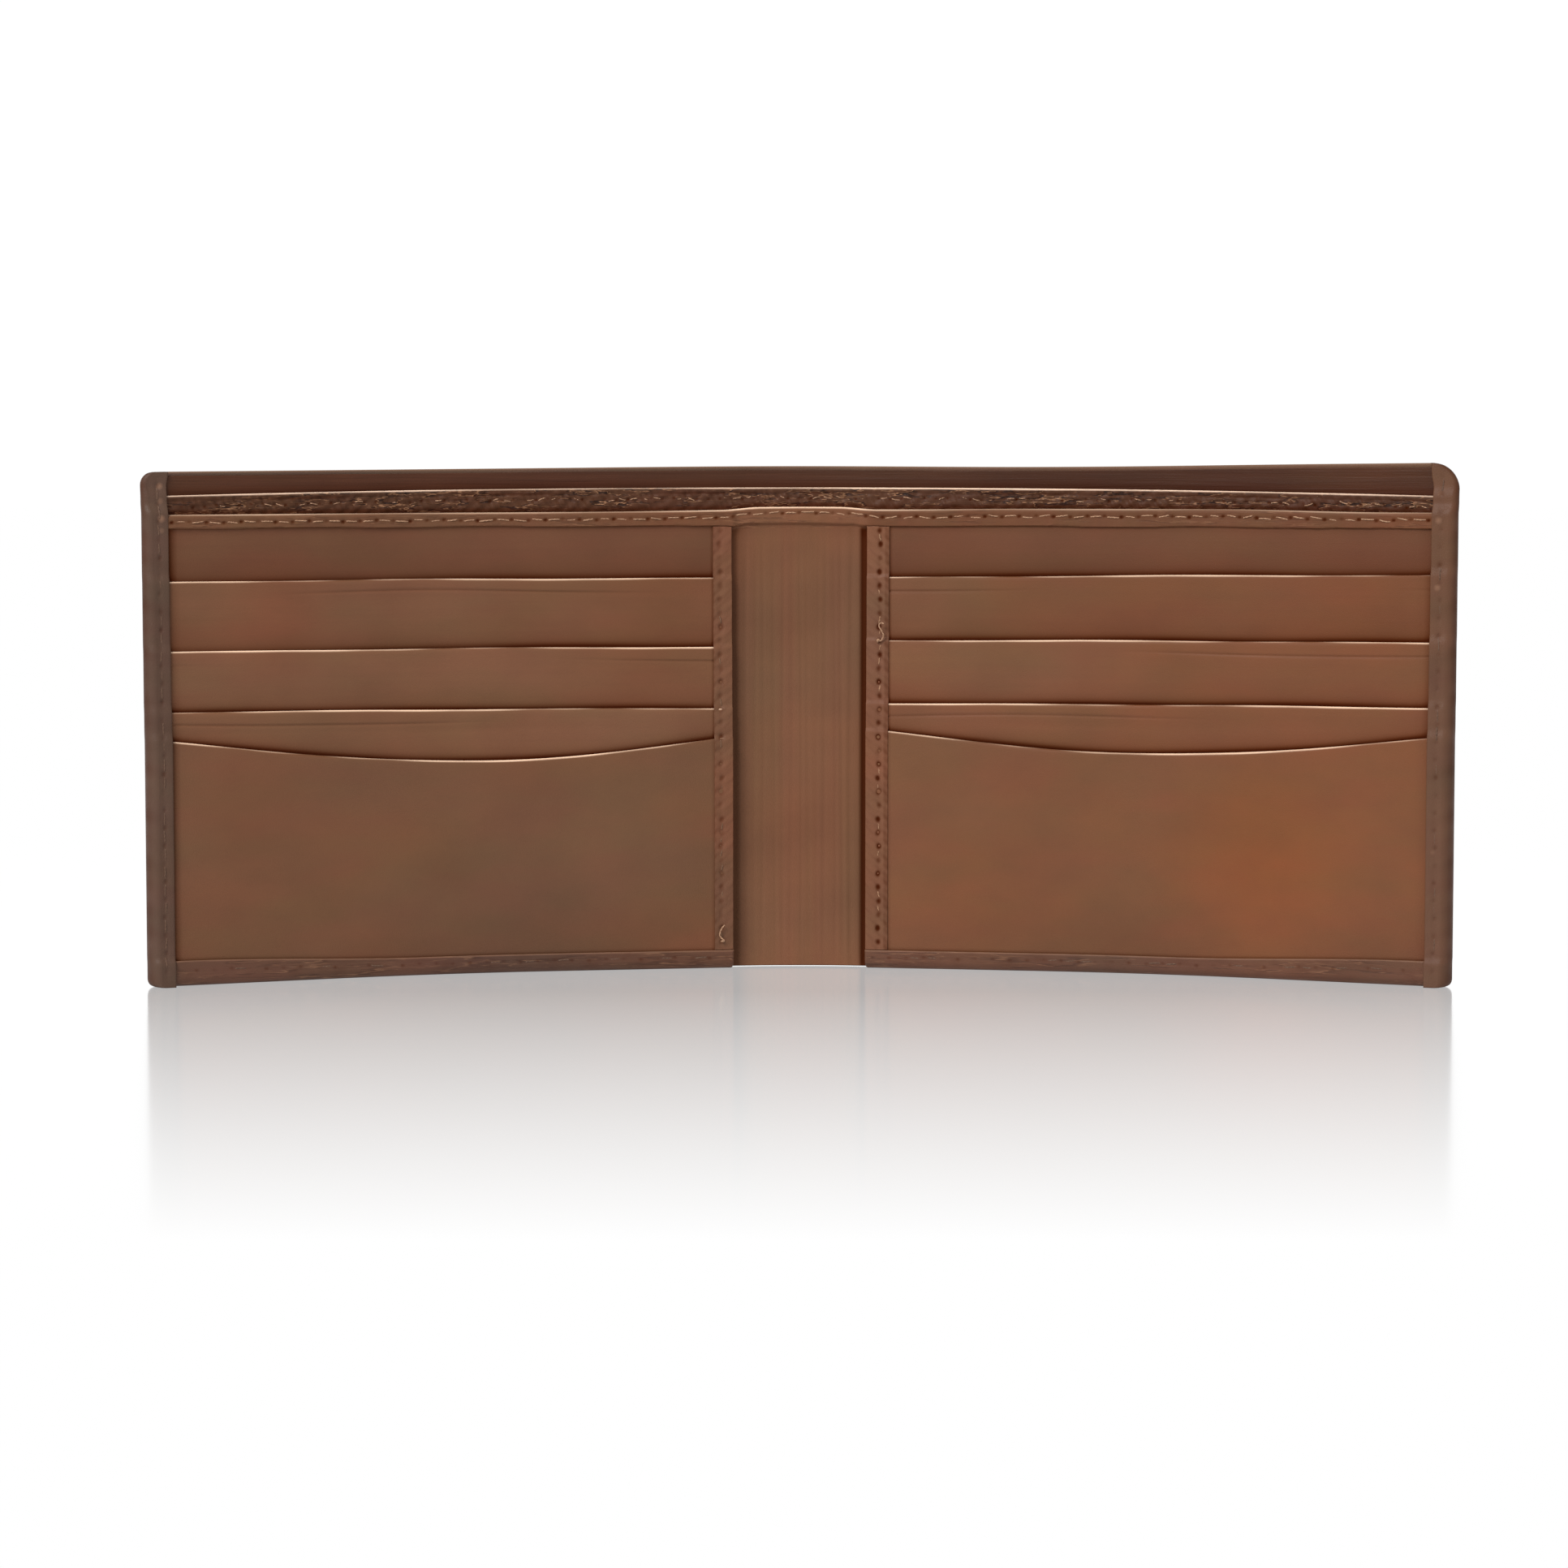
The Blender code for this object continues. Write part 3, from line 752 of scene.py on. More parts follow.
# colour on the left half, on the right half, in its dark blotches and on its cut edges, with their painted
# highlight
LEATHERS = {
    "shell": ((81, 60, 48), (93, 64, 47), (62, 41, 31), (120, 90, 70), dict(HEM_LOOK, pores=1.8)),
    "hem": ((81, 60, 48), (93, 64, 47), (62, 41, 31), (150, 112, 88), HEM_LOOK),
    "foot": ((88, 59, 45), (93, 60, 43), (62, 39, 28), (150, 112, 88), dict(creases=(0.05, 0.8, 0.36, -90))),
    "panel": ((108, 74, 51), (113, 70, 45), (84, 54, 37), EDGE,
              dict(streak=(0.4, 0.008), share=0.16, creases=(0.07, 1.1, 0.3, PANEL_TOP - 4.4),
                   patches=SPINE_PATCHES, hues=(0.17, 0.012))),
    "base": ((102, 66, 45), (99, 61, 39), (80, 49, 34), EDGE, {}),
    "slot": ((113, 77, 54), (111, 68, 42), (86, 55, 38), EDGE, {}),
    "pocket": ((103, 70, 48), (111, 67, 40), (82, 55, 39), EDGE, dict(streak=(0.02, 0.3), share=0.03)),
    "strip": ((96, 68, 49), (118, 72, 48), (80, 51, 36), EDGE, dict(streak=(0.5, 0.1))),
    "lining": ((74, 42, 24), (61, 30, 12), (44, 22, 12), (104, 72, 52),
               dict(streak=(0.03, 1.2), share=0.35, patches=LINING_PATCHES)),
    "divider": ((74, 43, 24), (72, 40, 22), (46, 25, 13), (240, 206, 180),
                dict(creases=(0.13, 0.85, 1.0, 82.0))),
}
THREADS = {
    "thread": ((200, 160, 128), (110, 74, 52)),
    "seam_thread": ((176, 134, 102), (104, 70, 48)),
    "dull_thread": ((122, 90, 66), (92, 64, 46)),
    "hem_thread": ((104, 78, 60), (80, 56, 43)),
}
MATERIALS = {f"{name}_leather": leather(f"{name}_leather", *colours, **look)
             for name, (*colours, look) in LEATHERS.items()}
MATERIALS.update({name: thread_material(name, *colours) for name, colours in THREADS.items()})


def dress(obj, material, nodes):
    """Gives a piece its material and hides the CAD nodes that it stands for."""
    obj.data.materials.clear()
    obj.data.materials.append(MATERIALS[material])
    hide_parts(*nodes)
    return obj


def on_wing(obj, side, material, node):
    """Dresses a piece that stands for one CAD node of its side and moves with the wing."""
    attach(dress(obj, material, [f"{side}_{node}"]), f"{side}_wing")


def bend_with(obj, first, second, weights):
    """Bakes the piece's transform into its mesh. first, second and weights are not used."""
    points = place(np.array([0.0, 50.0]), np.array([0.0, 0.0]), np.array([0.0, 50.0]))
    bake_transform(obj)


def bend_at_fold(obj, side, k):
    """Works out weights for piece k of the spine, 1 or 2, across the k-th fold line of its side,
    most of the change close to the line, and hands them to bend_with, which does not bend it."""
    bodies = ("spine_mid", f"spine_{side}") if k == 1 else (f"spine_{side}", f"{side}_wing")
    a = np.abs(PLACES[obj.name][:, 0])
    bend_with(obj, *bodies, smooth(0.5 + 1.5 * ((a - (k - 1) * STRIP) / STRIP - 0.5)))


def bend_open(obj, side, body):
    """Works out how far each point of a loose sheet of the note compartment goes with its body, and hands it
    to bend_with, which does not bend the sheet.
    """
    points = PLACES[obj.name]
    bend_with(obj, f"{side}_wing", f"{side}_{body}", cover_weight(np.abs(points[:, 0]), points[:, 2]))


# ---------------- the sheets that cross the spine

def corner_inset(side, z):
    """How far the wallet's end is drawn in by its rounded corners, at height z."""
    top = float(shell_top(SIDES[side] * END))
    radius = CORNERS[side]
    up = np.clip(z - (top - radius), 0, radius)
    down = np.clip(FOOT_CORNER - z, 0, FOOT_CORNER)
    return (radius - np.sqrt(radius ** 2 - up ** 2)) + (FOOT_CORNER - np.sqrt(FOOT_CORNER ** 2 - down ** 2))


def hem_width(side, z):
    return SIDE_HEM + 0.4 * smooth((z - DIVIDER_TOP) / 3) - corner_inset(side, z)


def shell_end(side, z):
    """Where the shell passes into its side hem."""
    run = np.minimum(BACK_RUN, 0.46 * hem_width(side, z))
    return END - corner_inset(side, z) - run


def shell_shape(side, nominal, a, z):
    """Draws the shell's nominal end in to where it passes into its side hem."""
    return a + (shell_end(side, z) - nominal) * smooth((a - (nominal - 14)) / 14)


def divider_wrinkles(side, a, z):
    s = SIDES[side] * a
    below = divider_top(s) - z
    band = smooth((below - 0.25) / 0.4) * smooth((5.0 - below) / 1.5)
    rough = 0.16 * np.sin(2.3 * s + 3 * np.sin(0.31 * s)) * np.cos(2.6 * z + 0.7 * s)
    rough = rough + 0.10 * np.sin(4.4 * s + 2.2 * z + 2 * np.sin(0.9 * s))
    fold = -0.18 * ridge(below - 1.05 - 0.12 * np.sin(1.1 * s), 0.22)
    return (rough + fold) * band


def panel_row(sign, a):
    """Height of the inner panel's top seam."""
    return panel_top(sign * a) - 1.35 + 0.3 * ridge(a, 12)


def divider_row(sign, a):
    return divider_top(sign * a) - 1.95 + 0.12 * np.sin(a / 3.1)


def foot_row(a):
    """Height of the bottom seam, which rises with its hem."""
    return FOOT_SEAM_Z + 0.75 * smooth((a - 70) / 45)


panel_seams = {side: Seam(False, partial(panel_row, sign), 0, SEAM_END, STITCH, line=0.08)
               for side, sign in SIDES.items()}
divider_seams = {side: Seam(False, partial(divider_row, sign), 0, SEAM_END, DIVIDER_STITCH,
                            hole=0.8, line=0.0, reach=0.26) for side, sign in SIDES.items()}
side_seams = {side: Seam(True, END - SIDE_SEAM_IN, 3.0, float(shell_top(sign * END)) - 2.4, STITCH,
                         hole=0.3, line=0.05, reach=0.36) for side, sign in SIDES.items()}
foot_seam = Seam(False, foot_row, STACK_EDGE + 1.2, SEAM_END, STITCH, hole=0.4, line=0.06)


def hem_lift(a):
    """How far the inner panel's top hem stands out of the panel."""
    return HEM_THICK + HEM_LIFT * smooth((a - STACK_EDGE + 1.6) / 1.6)


def panel_relief(side, a, z):
    s = SIDES[side] * a
    over = smooth((z - panel_fold(s)) / 0.22 + 0.5)
    hem = over * hem_lift(a) + 0.02 * over * np.sin(1.9 * s) * np.sin(2 * z)
    return hem + panel_seams[side].relief(a, z) + spine_relief(s, z) * (a < BEND_END + 1)


def panel_shade(side, a, z):
    """Painted shade under the top hem and in the gaps beside the card stacks: a narrow deep one on
    the right, a wide soft painted shadow on the left. The hem itself is given a darker tone."""
    edge = panel_fold(SIDES[side] * a)
    under = smooth((edge - z) / 0.8)
    fold = 0.3 * ridge(z - edge + 0.12, 0.22) + 0.16 * under * smooth((3 - edge + z) / 3)
    if side == "right":
        gap = 0.93 * smooth((a - 11.25) / 0.35) + 0.12 * smooth((a - 8.6) / 1.2) * smooth((10.6 - a) / 1.2)
    else:
        gap = 0.26 * smooth((a - 10.9) / 1.2) + 0.2 * smooth((a - 8.8) / 2.6)
    hem = (0.20 if side == "left" else 0.27) * (z > edge) * smooth((a - 11) / 3)
    return fold + hem + gap * under + panel_seams[side].shade(a, z)


def pressed_back(side, a, z):
    """The seams of the hems, drawn into the shell's back."""
    foot = 0.14 * ridge(z - foot_row(a), 0.45) * smooth((a - BEND_END - 0.5) / 1.5)
    return foot + 0.14 * ridge(a - side_seams[side].at, 0.45)


def divider_relief(side, a, z):
    return divider_wrinkles(side, a, z) + divider_seams[side].relief(a, z)


def divider_shade(side, a, z):
    """Painted shade in the slit above the inner panel, and in the pressed crease under the top edge."""
    sign = SIDES[side]
    slit = 0.55 * smooth((panel_top(sign * a) + 1.3 - z) / 1.0)
    pressed = 0.4 * ridge(divider_top(sign * a) - z - 0.95, 0.25) * smooth(0.5 + 0.6 * np.sin(a / 6.1 + sign))
    return slit + pressed + divider_seams[side].shade(a, z)


# how pale the divider's top edge is painted: its own paler colour with a painted highlight, stronger on the
# right half
def divider_pale(side, a):
    rubbed = 0.3 * SIDES[side] * smooth(a / 60 + 0.2) * smooth((80 - a) / 50)
    return 0.62 + rubbed + 0.2 * np.sin(a / 9) ** 2


def lining_shade(side, a, z):
    """Painted shade in the slit above the divider."""
    return 0.4 * smooth((divider_top(SIDES[side] * a) + 2.6 - z) / 2.6)


def lining_top(s):
    return shell_top(s) - 0.75


TOPS = {"shell": shell_top, "lining": lining_top, "divider": divider_top, "inner_panel": panel_top}
# relief, painted shade, and pale edges with a painted highlight, of the sheets that cross the spine
CROSSING = {
    "shell": dict(back_relief=pressed_back, pale=lambda side, a: 0.8 + 0 * a),
    "lining": dict(shade=lining_shade),
    "divider": dict(relief=divider_relief, shade=divider_shade, pale=divider_pale),
    "inner_panel": dict(relief=panel_relief, shade=panel_shade,
                        pale=lambda side, a: 0.5 + 0.35 * ridge(a - 6, 20) + 0.12 * np.sin(a / 7)),
}


def layer_lines(layer, start, end):
    """Where the points of a sheet lie along a and up z."""
    radius = LEVELS[layer][1] / 2
    wing = end > BEND_END
    rims = (0, radius if wing and layer != "shell" else 0)
    high = {"shell": SHELL_TOP, "lining": SHELL_TOP - 0.9, "divider": DIVIDER_TOP,
            "inner_panel": PANEL_TOP}[layer]
    if layer in ("shell", "lining"):
        near = [(end - 0.35, 0.7, 0.2)] if layer == "shell" and wing else []
        a_lines = lines(start, end, 1.6 if wing else 0.45, *near, rims=rims)
        z_lines = lines(0.0, high, 2.0, (high - 2.5, 2.5, 0.4), (2.5, 1.2, 0.2), rims=(radius, radius))
    else:
        a_lines = lines(start, end, 0.3, rims=rims)
        z_lines = lines(0.0, high, 2.2, (high - 2.3, 2.4, 0.22), rims=(radius, radius))
    return a_lines, z_lines


def foot_of(layer):
    """Foot of a sheet: it stands on the floor at the spine, and ends in the bottom hem elsewhere."""
    low, high = (0.02, LOW_RUN) if layer == "shell" else (0.25, FOOT)
    return lambda a: low + (high - low) * smooth((a - BEND_END - 0.02) / 0.35)


def crossing_layer(layer, side, material, half_node):
    """One of the four sheets that run over the spine, as two bend pieces and a half."""
    end = END - BACK_RUN if layer == "shell" else LAYER_END
    look = {key: partial(function, side) for key, function in CROSSING[layer].items()}
    made = []
    for part, start, stop, node in (("bend_1", 0, STRIP, f"spine_mid_{layer}"),
                                    ("bend_2", STRIP, BEND_END, f"spine_{side}_{layer}"),
                                    ("half", BEND_END, end, half_node)):
        wing = part == "half"
        rounded = (False, wing and layer != "shell", not wing or layer != "shell", True)
        shape = partial(shell_shape, side, end) if layer == "shell" and wing else None
        obj = sheet(f"leather_{side}_{layer}_{part}", side, layer, *layer_lines(layer, start, stop),
                    foot_of(layer), lambda a: TOPS[layer](SIDES[side] * a), rounded, shape=shape, **look)
        made.append(dress(obj, material, [node]))
    bend_at_fold(made[0], side, 1)
    bend_at_fold(made[1], side, 2)
    return made[2]


def note_compartment(side):
    for layer, body, node in (("shell", "cover", "cover"), ("lining", "cover", "cover_lining"),
                              ("divider", "divider", "divider")):
        bend_open(crossing_layer(layer, side, f"{layer}_leather", f"{side}_{node}"), side, body)


def inner_panel(side):
    half = crossing_layer("inner_panel", side, "panel_leather", f"{side}_inner_panel")
    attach(half, f"{side}_wing")


# ---------------- card stacks

def stack_seam(side):
    hole, line, reach = (0.5, 0.05, 0.5) if side == "left" else (1.4, 0.08, 0.44)
    return Seam(True, COLUMN_AT[side], 5.0, PANEL_TOP - 4.2, COLUMN_STITCH, hole, line, reach)


def rims_of(layer):
    """Radii of the rounded edges at both ends of a layer."""
    return (LEVELS[layer][1] / 2,) * 2


def stack_sheet(side, layer, z_lines, foot, top, **look):
    a_lines = lines(STACK_EDGE, LAYER_END, 1.5, (STRIP_END[side], 1, 0.4), rims=rims_of(layer))
    return sheet(f"leather_{side}_{layer}", side, layer, a_lines, z_lines, foot, top, **look)


# how strong the painted shade in the gap above each mouth is, at its spine end and at its outer end
DEEP = {
    "left": ((0.85, 0.35), (1.0, 0.3), (0.9, 0.8), (0.95, 1.0)),
    "right": ((0.8, 0.65), (0.85, 0.8), (0.9, 1.0), (1.0, 1.0)),
}


def along_mouth(side, a):
    """0 at the strip and 1 at the side hem."""
    return np.clip((a - STRIP_END[side]) / (END - SIDE_HEM - STRIP_END[side]), 0, 1)


def above_mouth(side, k, a, z):
    """Painted shade in the gap just above a mouth, on the layer behind it, with a soft painted shadow over it
    that reaches some way up the band.
    """
    inner, outer = DEEP[side][k]
    strength = inner + (outer - inner) * smooth(1.3 * along_mouth(side, a) - 0.15)
    strength = strength * (0.86 + 0.14 * np.sin(a / 6.3 + 2.2 * k + SIDES[side]))
    above = np.maximum(z - mouth(side, k, a), 0)
    core = strength * np.exp(-(above / 0.62) ** 1.4)
    soft = 0.30 * np.exp(-above / 1.7) * (0.4 + 0.6 * strength) + 0.10 * smooth((9 - above) / 9)
    return np.clip(core + soft, 0, 1)


def under_mouth(side, k, a, z):
    """The pressed line a few millimetres under a mouth, strong in some stretches only. It is a groove, and it
    is also darkened with painted shade.
    """
    below = mouth(side, k, a) - z - 2.3 - 0.3 * np.sin(a / 15 + k)
    return ridge(below, 0.22) * smooth(0.2 + 0.9 * np.sin(a / 22 + 2.4 * k + 1.2 * SIDES[side]))


# how pale a mouth's top edge is painted: its own paler colour with a painted highlight that comes and goes
# along it
def mouth_paleness(side, k, a):
    return 0.6 + 0.36 * np.sin(a / 12.5 + 1.9 * k + 2 * SIDES[side]) + 0.12 * np.sin(a / 2.3 + k)


def beside_edges(side, a):
    """Painted shade in the lines beside the strip and beside the side hem, on the layer they lie over."""
    hem = a - (END - SIDE_HEM)
    strip = 0.35 * ridge(a - STRIP_END[side] - 0.05, 0.25)
    return strip + 0.5 * ridge(hem + 0.1, 0.3) + 0.12 * ridge(hem, 1.6)


def gape(side, k, a, below, reach, size):
    """A mouth stands off a little from what is behind it, most of all between its ends."""
    uneven = 0.75 + 0.25 * np.sin(a / 6.5 + 1.7 * k + SIDES[side])
    return size * np.sin(math.pi * along_mouth(side, a)) ** 0.5 * uneven * smooth(1 - below / reach)


def stack_base(side):
    """The leather that shows above the first card slot, and the edge of the stack along the spine."""
    def shade(a, z):
        # painted shade under the inner panel's turned hem
        under = 0.12 * ridge(z - panel_fold(SIDES[side] * a), 0.9)
        return above_mouth(side, 0, a, z) + under + beside_edges(side, a)

    near = (MOUTH_TOPS[0], 1.8, 0.13)
    z_lines = lines(FOOT, PANEL_TOP - HEM_FLAP_Z, 2.0, near, rims=rims_of("stack_base"))
    obj = stack_sheet(side, "stack_base", z_lines, lambda a: FOOT + 0 * a,
                      lambda a: panel_fold(SIDES[side] * a) + 0.08, shade=shade)
    on_wing(obj, side, "base_leather", "inner_panel")


def stack_strip(side):
    """The narrow strip that binds the spine side of all the card slots, with the seam down it."""
    seam = stack_seam(side)
    start, end = STACK_EDGE - 0.1, STRIP_END[side]
    low, high = bottom_hem_top(start) + 0.04, PANEL_TOP - 0.7 - HEM_FLAP_Z

    def relief(a, z):
        return seam.relief(a, z) + 0.08 * np.sin(1.7 * z + a) * np.sin(0.9 * z)

    def shade(a, z):
        worn = 0.16 * np.sin(2.9 * z + 3 * a) * np.sin(1.3 * z)
        # painted shade along the strip's outer edge, next to the card slots
        edge = 0.25 * ridge(end - a, 0.3) if side == "left" else 0.3 * smooth((a - end + 0.95) / 0.3)
        return seam.shade(a, z) + worn + edge

    rims = rims_of("stack_strip")
    obj = sheet(f"leather_{side}_stack_strip", side, "stack_strip", lines(start, end, 0.18, rims=rims),
                lines(low, high, 0.22, rims=rims), lambda a: low + 0 * a,
                lambda a: panel_fold(SIDES[side] * a) + 0.02, relief=relief, shade=shade,
                lie=lambda layer, a, z: stack_depth(side, end, z) + 0.02)
    on_wing(obj, side, "strip_leather", "stack_seam_thread")


def card_slot(side, k):
    """Card slot k, from 1. Below its band it narrows to a tail, which is the slot's floor."""
    layer = f"card_slot_{k}"
    reach = 4.2 if k == 3 else 9.5
    middle = (STACK_EDGE + LAYER_END) / 2
    narrow = 1 - TAIL_INSET / (middle - STACK_EDGE)
    high = MOUTH_TOPS[k - 1]
    top = partial(mouth, side, k - 1)

    def back_relief(a, z):
        return gape(side, k, a, top(a) - z, reach, 0.55)

    def relief(a, z):
        return back_relief(a, z) - 0.16 * under_mouth(side, k - 1, a, z)

    def shade(a, z):
        # painted shade in the pressed line under the slot's mouth
        pressed = 0.15 * under_mouth(side, k - 1, a, z)
        return above_mouth(side, k, a, z) + pressed + beside_edges(side, a)

    def shape(a, z):
        share = smooth((top(a) - z - TAIL_START) / 1.2)
        return middle + (a - middle) * (1 + (narrow - 1) * share)

    next_mouth = high - (high - MOUTH_TOPS[k])
    near = (next_mouth + 0.3, 1.8, 0.13) if k < 3 else (next_mouth - 2.0, 3.4, 0.13)
    z_lines = lines(high - SLOT_DEPTH, high, 1.5, (high - 2.4, 0.3, 0.12), near, (high - 8, 8, 0.4),
                    rims=rims_of(layer))
    obj = stack_sheet(side, layer, z_lines, lambda a: top(a) - SLOT_DEPTH, top, relief=relief,
                      back_relief=back_relief, shade=shade, shape=shape,
                      pale=partial(mouth_paleness, side, k - 1))
    on_wing(obj, side, "slot_leather", layer)


def front_pocket(side):
    def relief(a, z):
        return gape(side, 4, a, mouth(side, 3, a) - z, 13, 0.5)

    def shade(a, z):
        # painted shade along the bottom hem's edge, and painted shade that darkens the pocket towards its
        # foot
        foot = 0.3 * ridge(z - bottom_hem_top(a), 0.35) + 0.09 * smooth((16 - z) / 14)
        return foot + beside_edges(side, a)

    near = (bottom_hem_top(60), 1.5, 0.2)
    z_lines = lines(FOOT, MOUTH_TOPS[3], 1.2, near, rims=rims_of("front_pocket"))
    obj = stack_sheet(side, "front_pocket", z_lines, lambda a: FOOT + 0 * a, partial(mouth, side, 3),
                      relief=relief, back_relief=relief, shade=shade, pale=partial(mouth_paleness, side, 3))
    on_wing(obj, side, "pocket_leather", "front_pocket")


# ---------------- hems

def hem_face(side, z):
    """Depth of the side hem's face."""
    return drape(side, z) + PLAY + FLAP


def side_hem(side):
    """The shell's end, turned round the edge of all the layers to the front."""
    z_lines = lines(0.0, float(shell_top(SIDES[side] * END)), 0.36, rims=(0.4, 0.4))
    outer = END - corner_inset(side, z_lines)
    stop = outer - hem_width(side, z_lines)
    before = drape(side, z_lines) + PLAY + FLAP / 2
    half_n = (before - LEVELS["shell"][1] / 2) / 2
    reach = np.minimum(1.1 * half_n, np.minimum(1.7, 0.35 * (outer - stop)))
    flap = lines(0.0, 1.0, 0.08, rims=(0.085, 0.085))[1:]
    start, turn_at = shell_end(side, z_lines), outer - HEM_TURN - reach
    a_grid, n_grid = hem_path(start, stop, turn_at, reach, before, 4, flap)
    z_grid = np.tile(z_lines, (len(a_grid), 1))
    seam = side_seams[side]

    def shade(a, z):
        worn = 0.10 * np.sin(1.1 * z + 1.4 * np.sin(0.5 * a)) * np.sin(0.43 * z + 1)
        # painted shade on the hem's outer turn, where it rounds away
        return seam.shade(a, z) + worn + 0.5 * ridge(END - corner_inset(side, z) - a, 0.7)

    def rubbed(a, z):
        """Pale worn spots on the seam, most of them where the hem steps over the layers' tops."""
        spots = {"left": ((88.4, 0.42), (85.8, 0.36), (82.7, 0.48), (80.6, 0.3)),
                 "right": ((87.0, 0.28), (82.4, 0.42), (70.6, 0.38), (24.0, 0.25))}[side]
        return sum(pale * ridge(np.hypot(a - seam.at + 0.4, z - height), 0.75) for height, pale in spots)

    obj = bent_hem(f"leather_{side}_side_hem", side, (a_grid, n_grid, z_grid), (0.15, 0.4), (True, True),
                   shade, seam.relief, 0.2, rubbed=rubbed)
    on_wing(obj, side, "hem_leather", "side_hem")


def bottom_hem(side):
    """The shell's foot, turned up over the card stack."""
    a_lines = lines(STACK_EDGE - 0.15, END - BACK_RUN, 0.36, rims=(0.3, 0))
    before = front_of("front_pocket", a_lines, np.full(len(a_lines), FOOT)) + PLAY + FLAP / 2
    reach = 1.45
    flap = lines(0.0, 1.0, 0.09, rims=(0.12, 0.12))[1:]
    stop = bottom_hem_top(a_lines)
    z_grid, n_grid = hem_path(LOW_RUN, stop, HEM_TURN + reach, -reach, before, 3, flap)
    a_grid = np.tile(a_lines, (len(z_grid), 1))

    def shade(a, z):
        worn = 0.12 * np.sin(0.8 * a + 2 * np.sin(0.21 * a)) * np.sin(0.33 * a + z)
        return foot_seam.shade(a, z) + worn

    obj = bent_hem(f"leather_{side}_bottom_hem", side, (a_grid, n_grid, z_grid), (0.1, 0.5), (True, False),
                   shade, foot_seam.relief, 0.4, upright=False)
    on_wing(obj, side, "foot_leather", "bottom_hem")


# ---------------- threads

def crossing_threads(side):
    """The stitches of the panel's and the divider's top hems, which cross the spine."""
    def panel_face(a, z):
        return front_of("inner_panel", a, z) + hem_lift(a) - 0.05

    def divider_face(a, z):
        return front_of("divider", a, z) + divider_wrinkles(side, a, z)

    mess = 3.0 if side == "left" else 4.5
    rows = {
        "panel": (panel_seams[side], panel_face, dict(mess=mess, size=0.68, sunk=0.16)),
        "divider": (divider_seams[side], divider_face, dict(mess=5.0, size=0.55, sunk=0.45)),
    }
    for kind, (seam, surface, style) in rows.items():
        name = f"stitches_{side}_{kind}"
        for k, body in ((1, "spine_mid"), (2, f"spine_{side}")):
            only = ((k - 1) * STRIP, k * STRIP)
            obj = thread_row(f"{name}_bend_{k}", side, seam, surface, only=only, **style)
            dress(obj, "thread", [f"{body}_{kind}_thread"])
            bend_at_fold(obj, side, k)
        obj = thread_row(name, side, seam, surface, only=(BEND_END, END), **style)
        dress(obj, "thread", [f"{side}_{kind}_thread"])
        if kind == "panel":
            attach(obj, f"{side}_wing")
        else:
            bend_open(obj, side, "divider")


def loose_end(side):
    """A loop of thread at the right stack's seam, and a cut end at the foot of the left one."""
    a = COLUMN_AT[side]
    if side == "right":
        z = float(mouth("right", 1, a))
        n = stack_depth(side, a, z) + 0.5
        way = curl([(a - 0.3, n - 0.1, z - 0.3), (a - 0.1, n + 0.2, z + 0.1), (a + 0.4, n + 0.1, z),
                    (a + 0.85, n + 0.3, z + 1.0), (a + 0.45, n + 0.5, z + 1.9), (a + 0.05, n + 0.5, z + 2.7),
                    (a + 0.3, n + 0.4, z + 3.2), (a + 0.9, n + 0.3, z + 3.1)], 44)
    else:
        n = sum(LEVELS["front_pocket"]) + 0.3
        way = curl([(-a - 0.1, n - 0.4, 5.0), (-a + 0.3, n + 0.3, 5.3), (-a - 0.4, n + 0.4, 6.2),
                    (-a - 0.1, n + 0.5, 7.4), (-a + 0.5, n + 0.4, 8.1)])
    knot = 0.75 + 0.9 * ridge(np.arange(len(way)) - 5, 3.5)
    obj = threads(f"stitches_{side}_loose_end", [(way, THREAD_RADIUS * knot)])
    on_wing(obj, side, "thread", "stack_seam_thread")


def wing_threads(side):
    """The stitches of a wing's own seams, and of those that come through its back."""
    def strip_face(a, z):
        return stack_depth(side, STRIP_END[side], z) + 0.02 + LEVELS["stack_strip"][1] - 0.1

    def foot_face(a, z):
        return front_of("front_pocket", a, z * 0 + FOOT) + PLAY + FLAP - 0.1

    column_thread = "dull_thread" if side == "left" else "seam_thread"
    back = (lambda a, z: 0.1, dict(facing=-1, size=0.85))
    for name, seam, material, surface, style in (
            ("stack_seam", stack_seam(side), column_thread, strip_face,
             dict(mess=3.0, size=0.8, sunk=0.4, gap=1.0)),
            ("side_seam", side_seams[side], "hem_thread", lambda a, z: hem_face(side, z) - 0.1,
             dict(mess=2.0, size=0.8, sunk=0.3)),
            ("side_seam_back", side_seams[side], "hem_thread", *back),
            ("bottom_seam_back", foot_seam, "hem_thread", *back),
            ("bottom_seam", foot_seam, "hem_thread", foot_face, dict(mess=2.0, size=0.8, sunk=0.25))):
        obj = thread_row(f"stitches_{side}_{name}", side, seam, surface, **style)
        on_wing(obj, side, material, name.removesuffix("_back") + "_thread")


for side in SIDES:
    note_compartment(side)
    inner_panel(side)
    stack_base(side)
    stack_strip(side)
    for k in (1, 2, 3):
        card_slot(side, k)
    front_pocket(side)
    side_hem(side)
    bottom_hem(side)
    crossing_threads(side)
    wing_threads(side)
    loose_end(side)


# ---------------- floor, light and camera

DOME = 0.5                       # brightness of the dome above the horizon
KEY_POWER = 12.0
GLOSS = 0.59                     # share of mirrored light, on the floor at the wallet
GLOSS_REACH = 0.26
FLOOR_HALF = 6.0
LENS, SENSOR = 100, 36           # in millimetres
EYE = (-2.8 * MM, -0.780, 95.6 * MM)
EYE_DOWN = 4.45                  # how far the camera looks down, in degrees


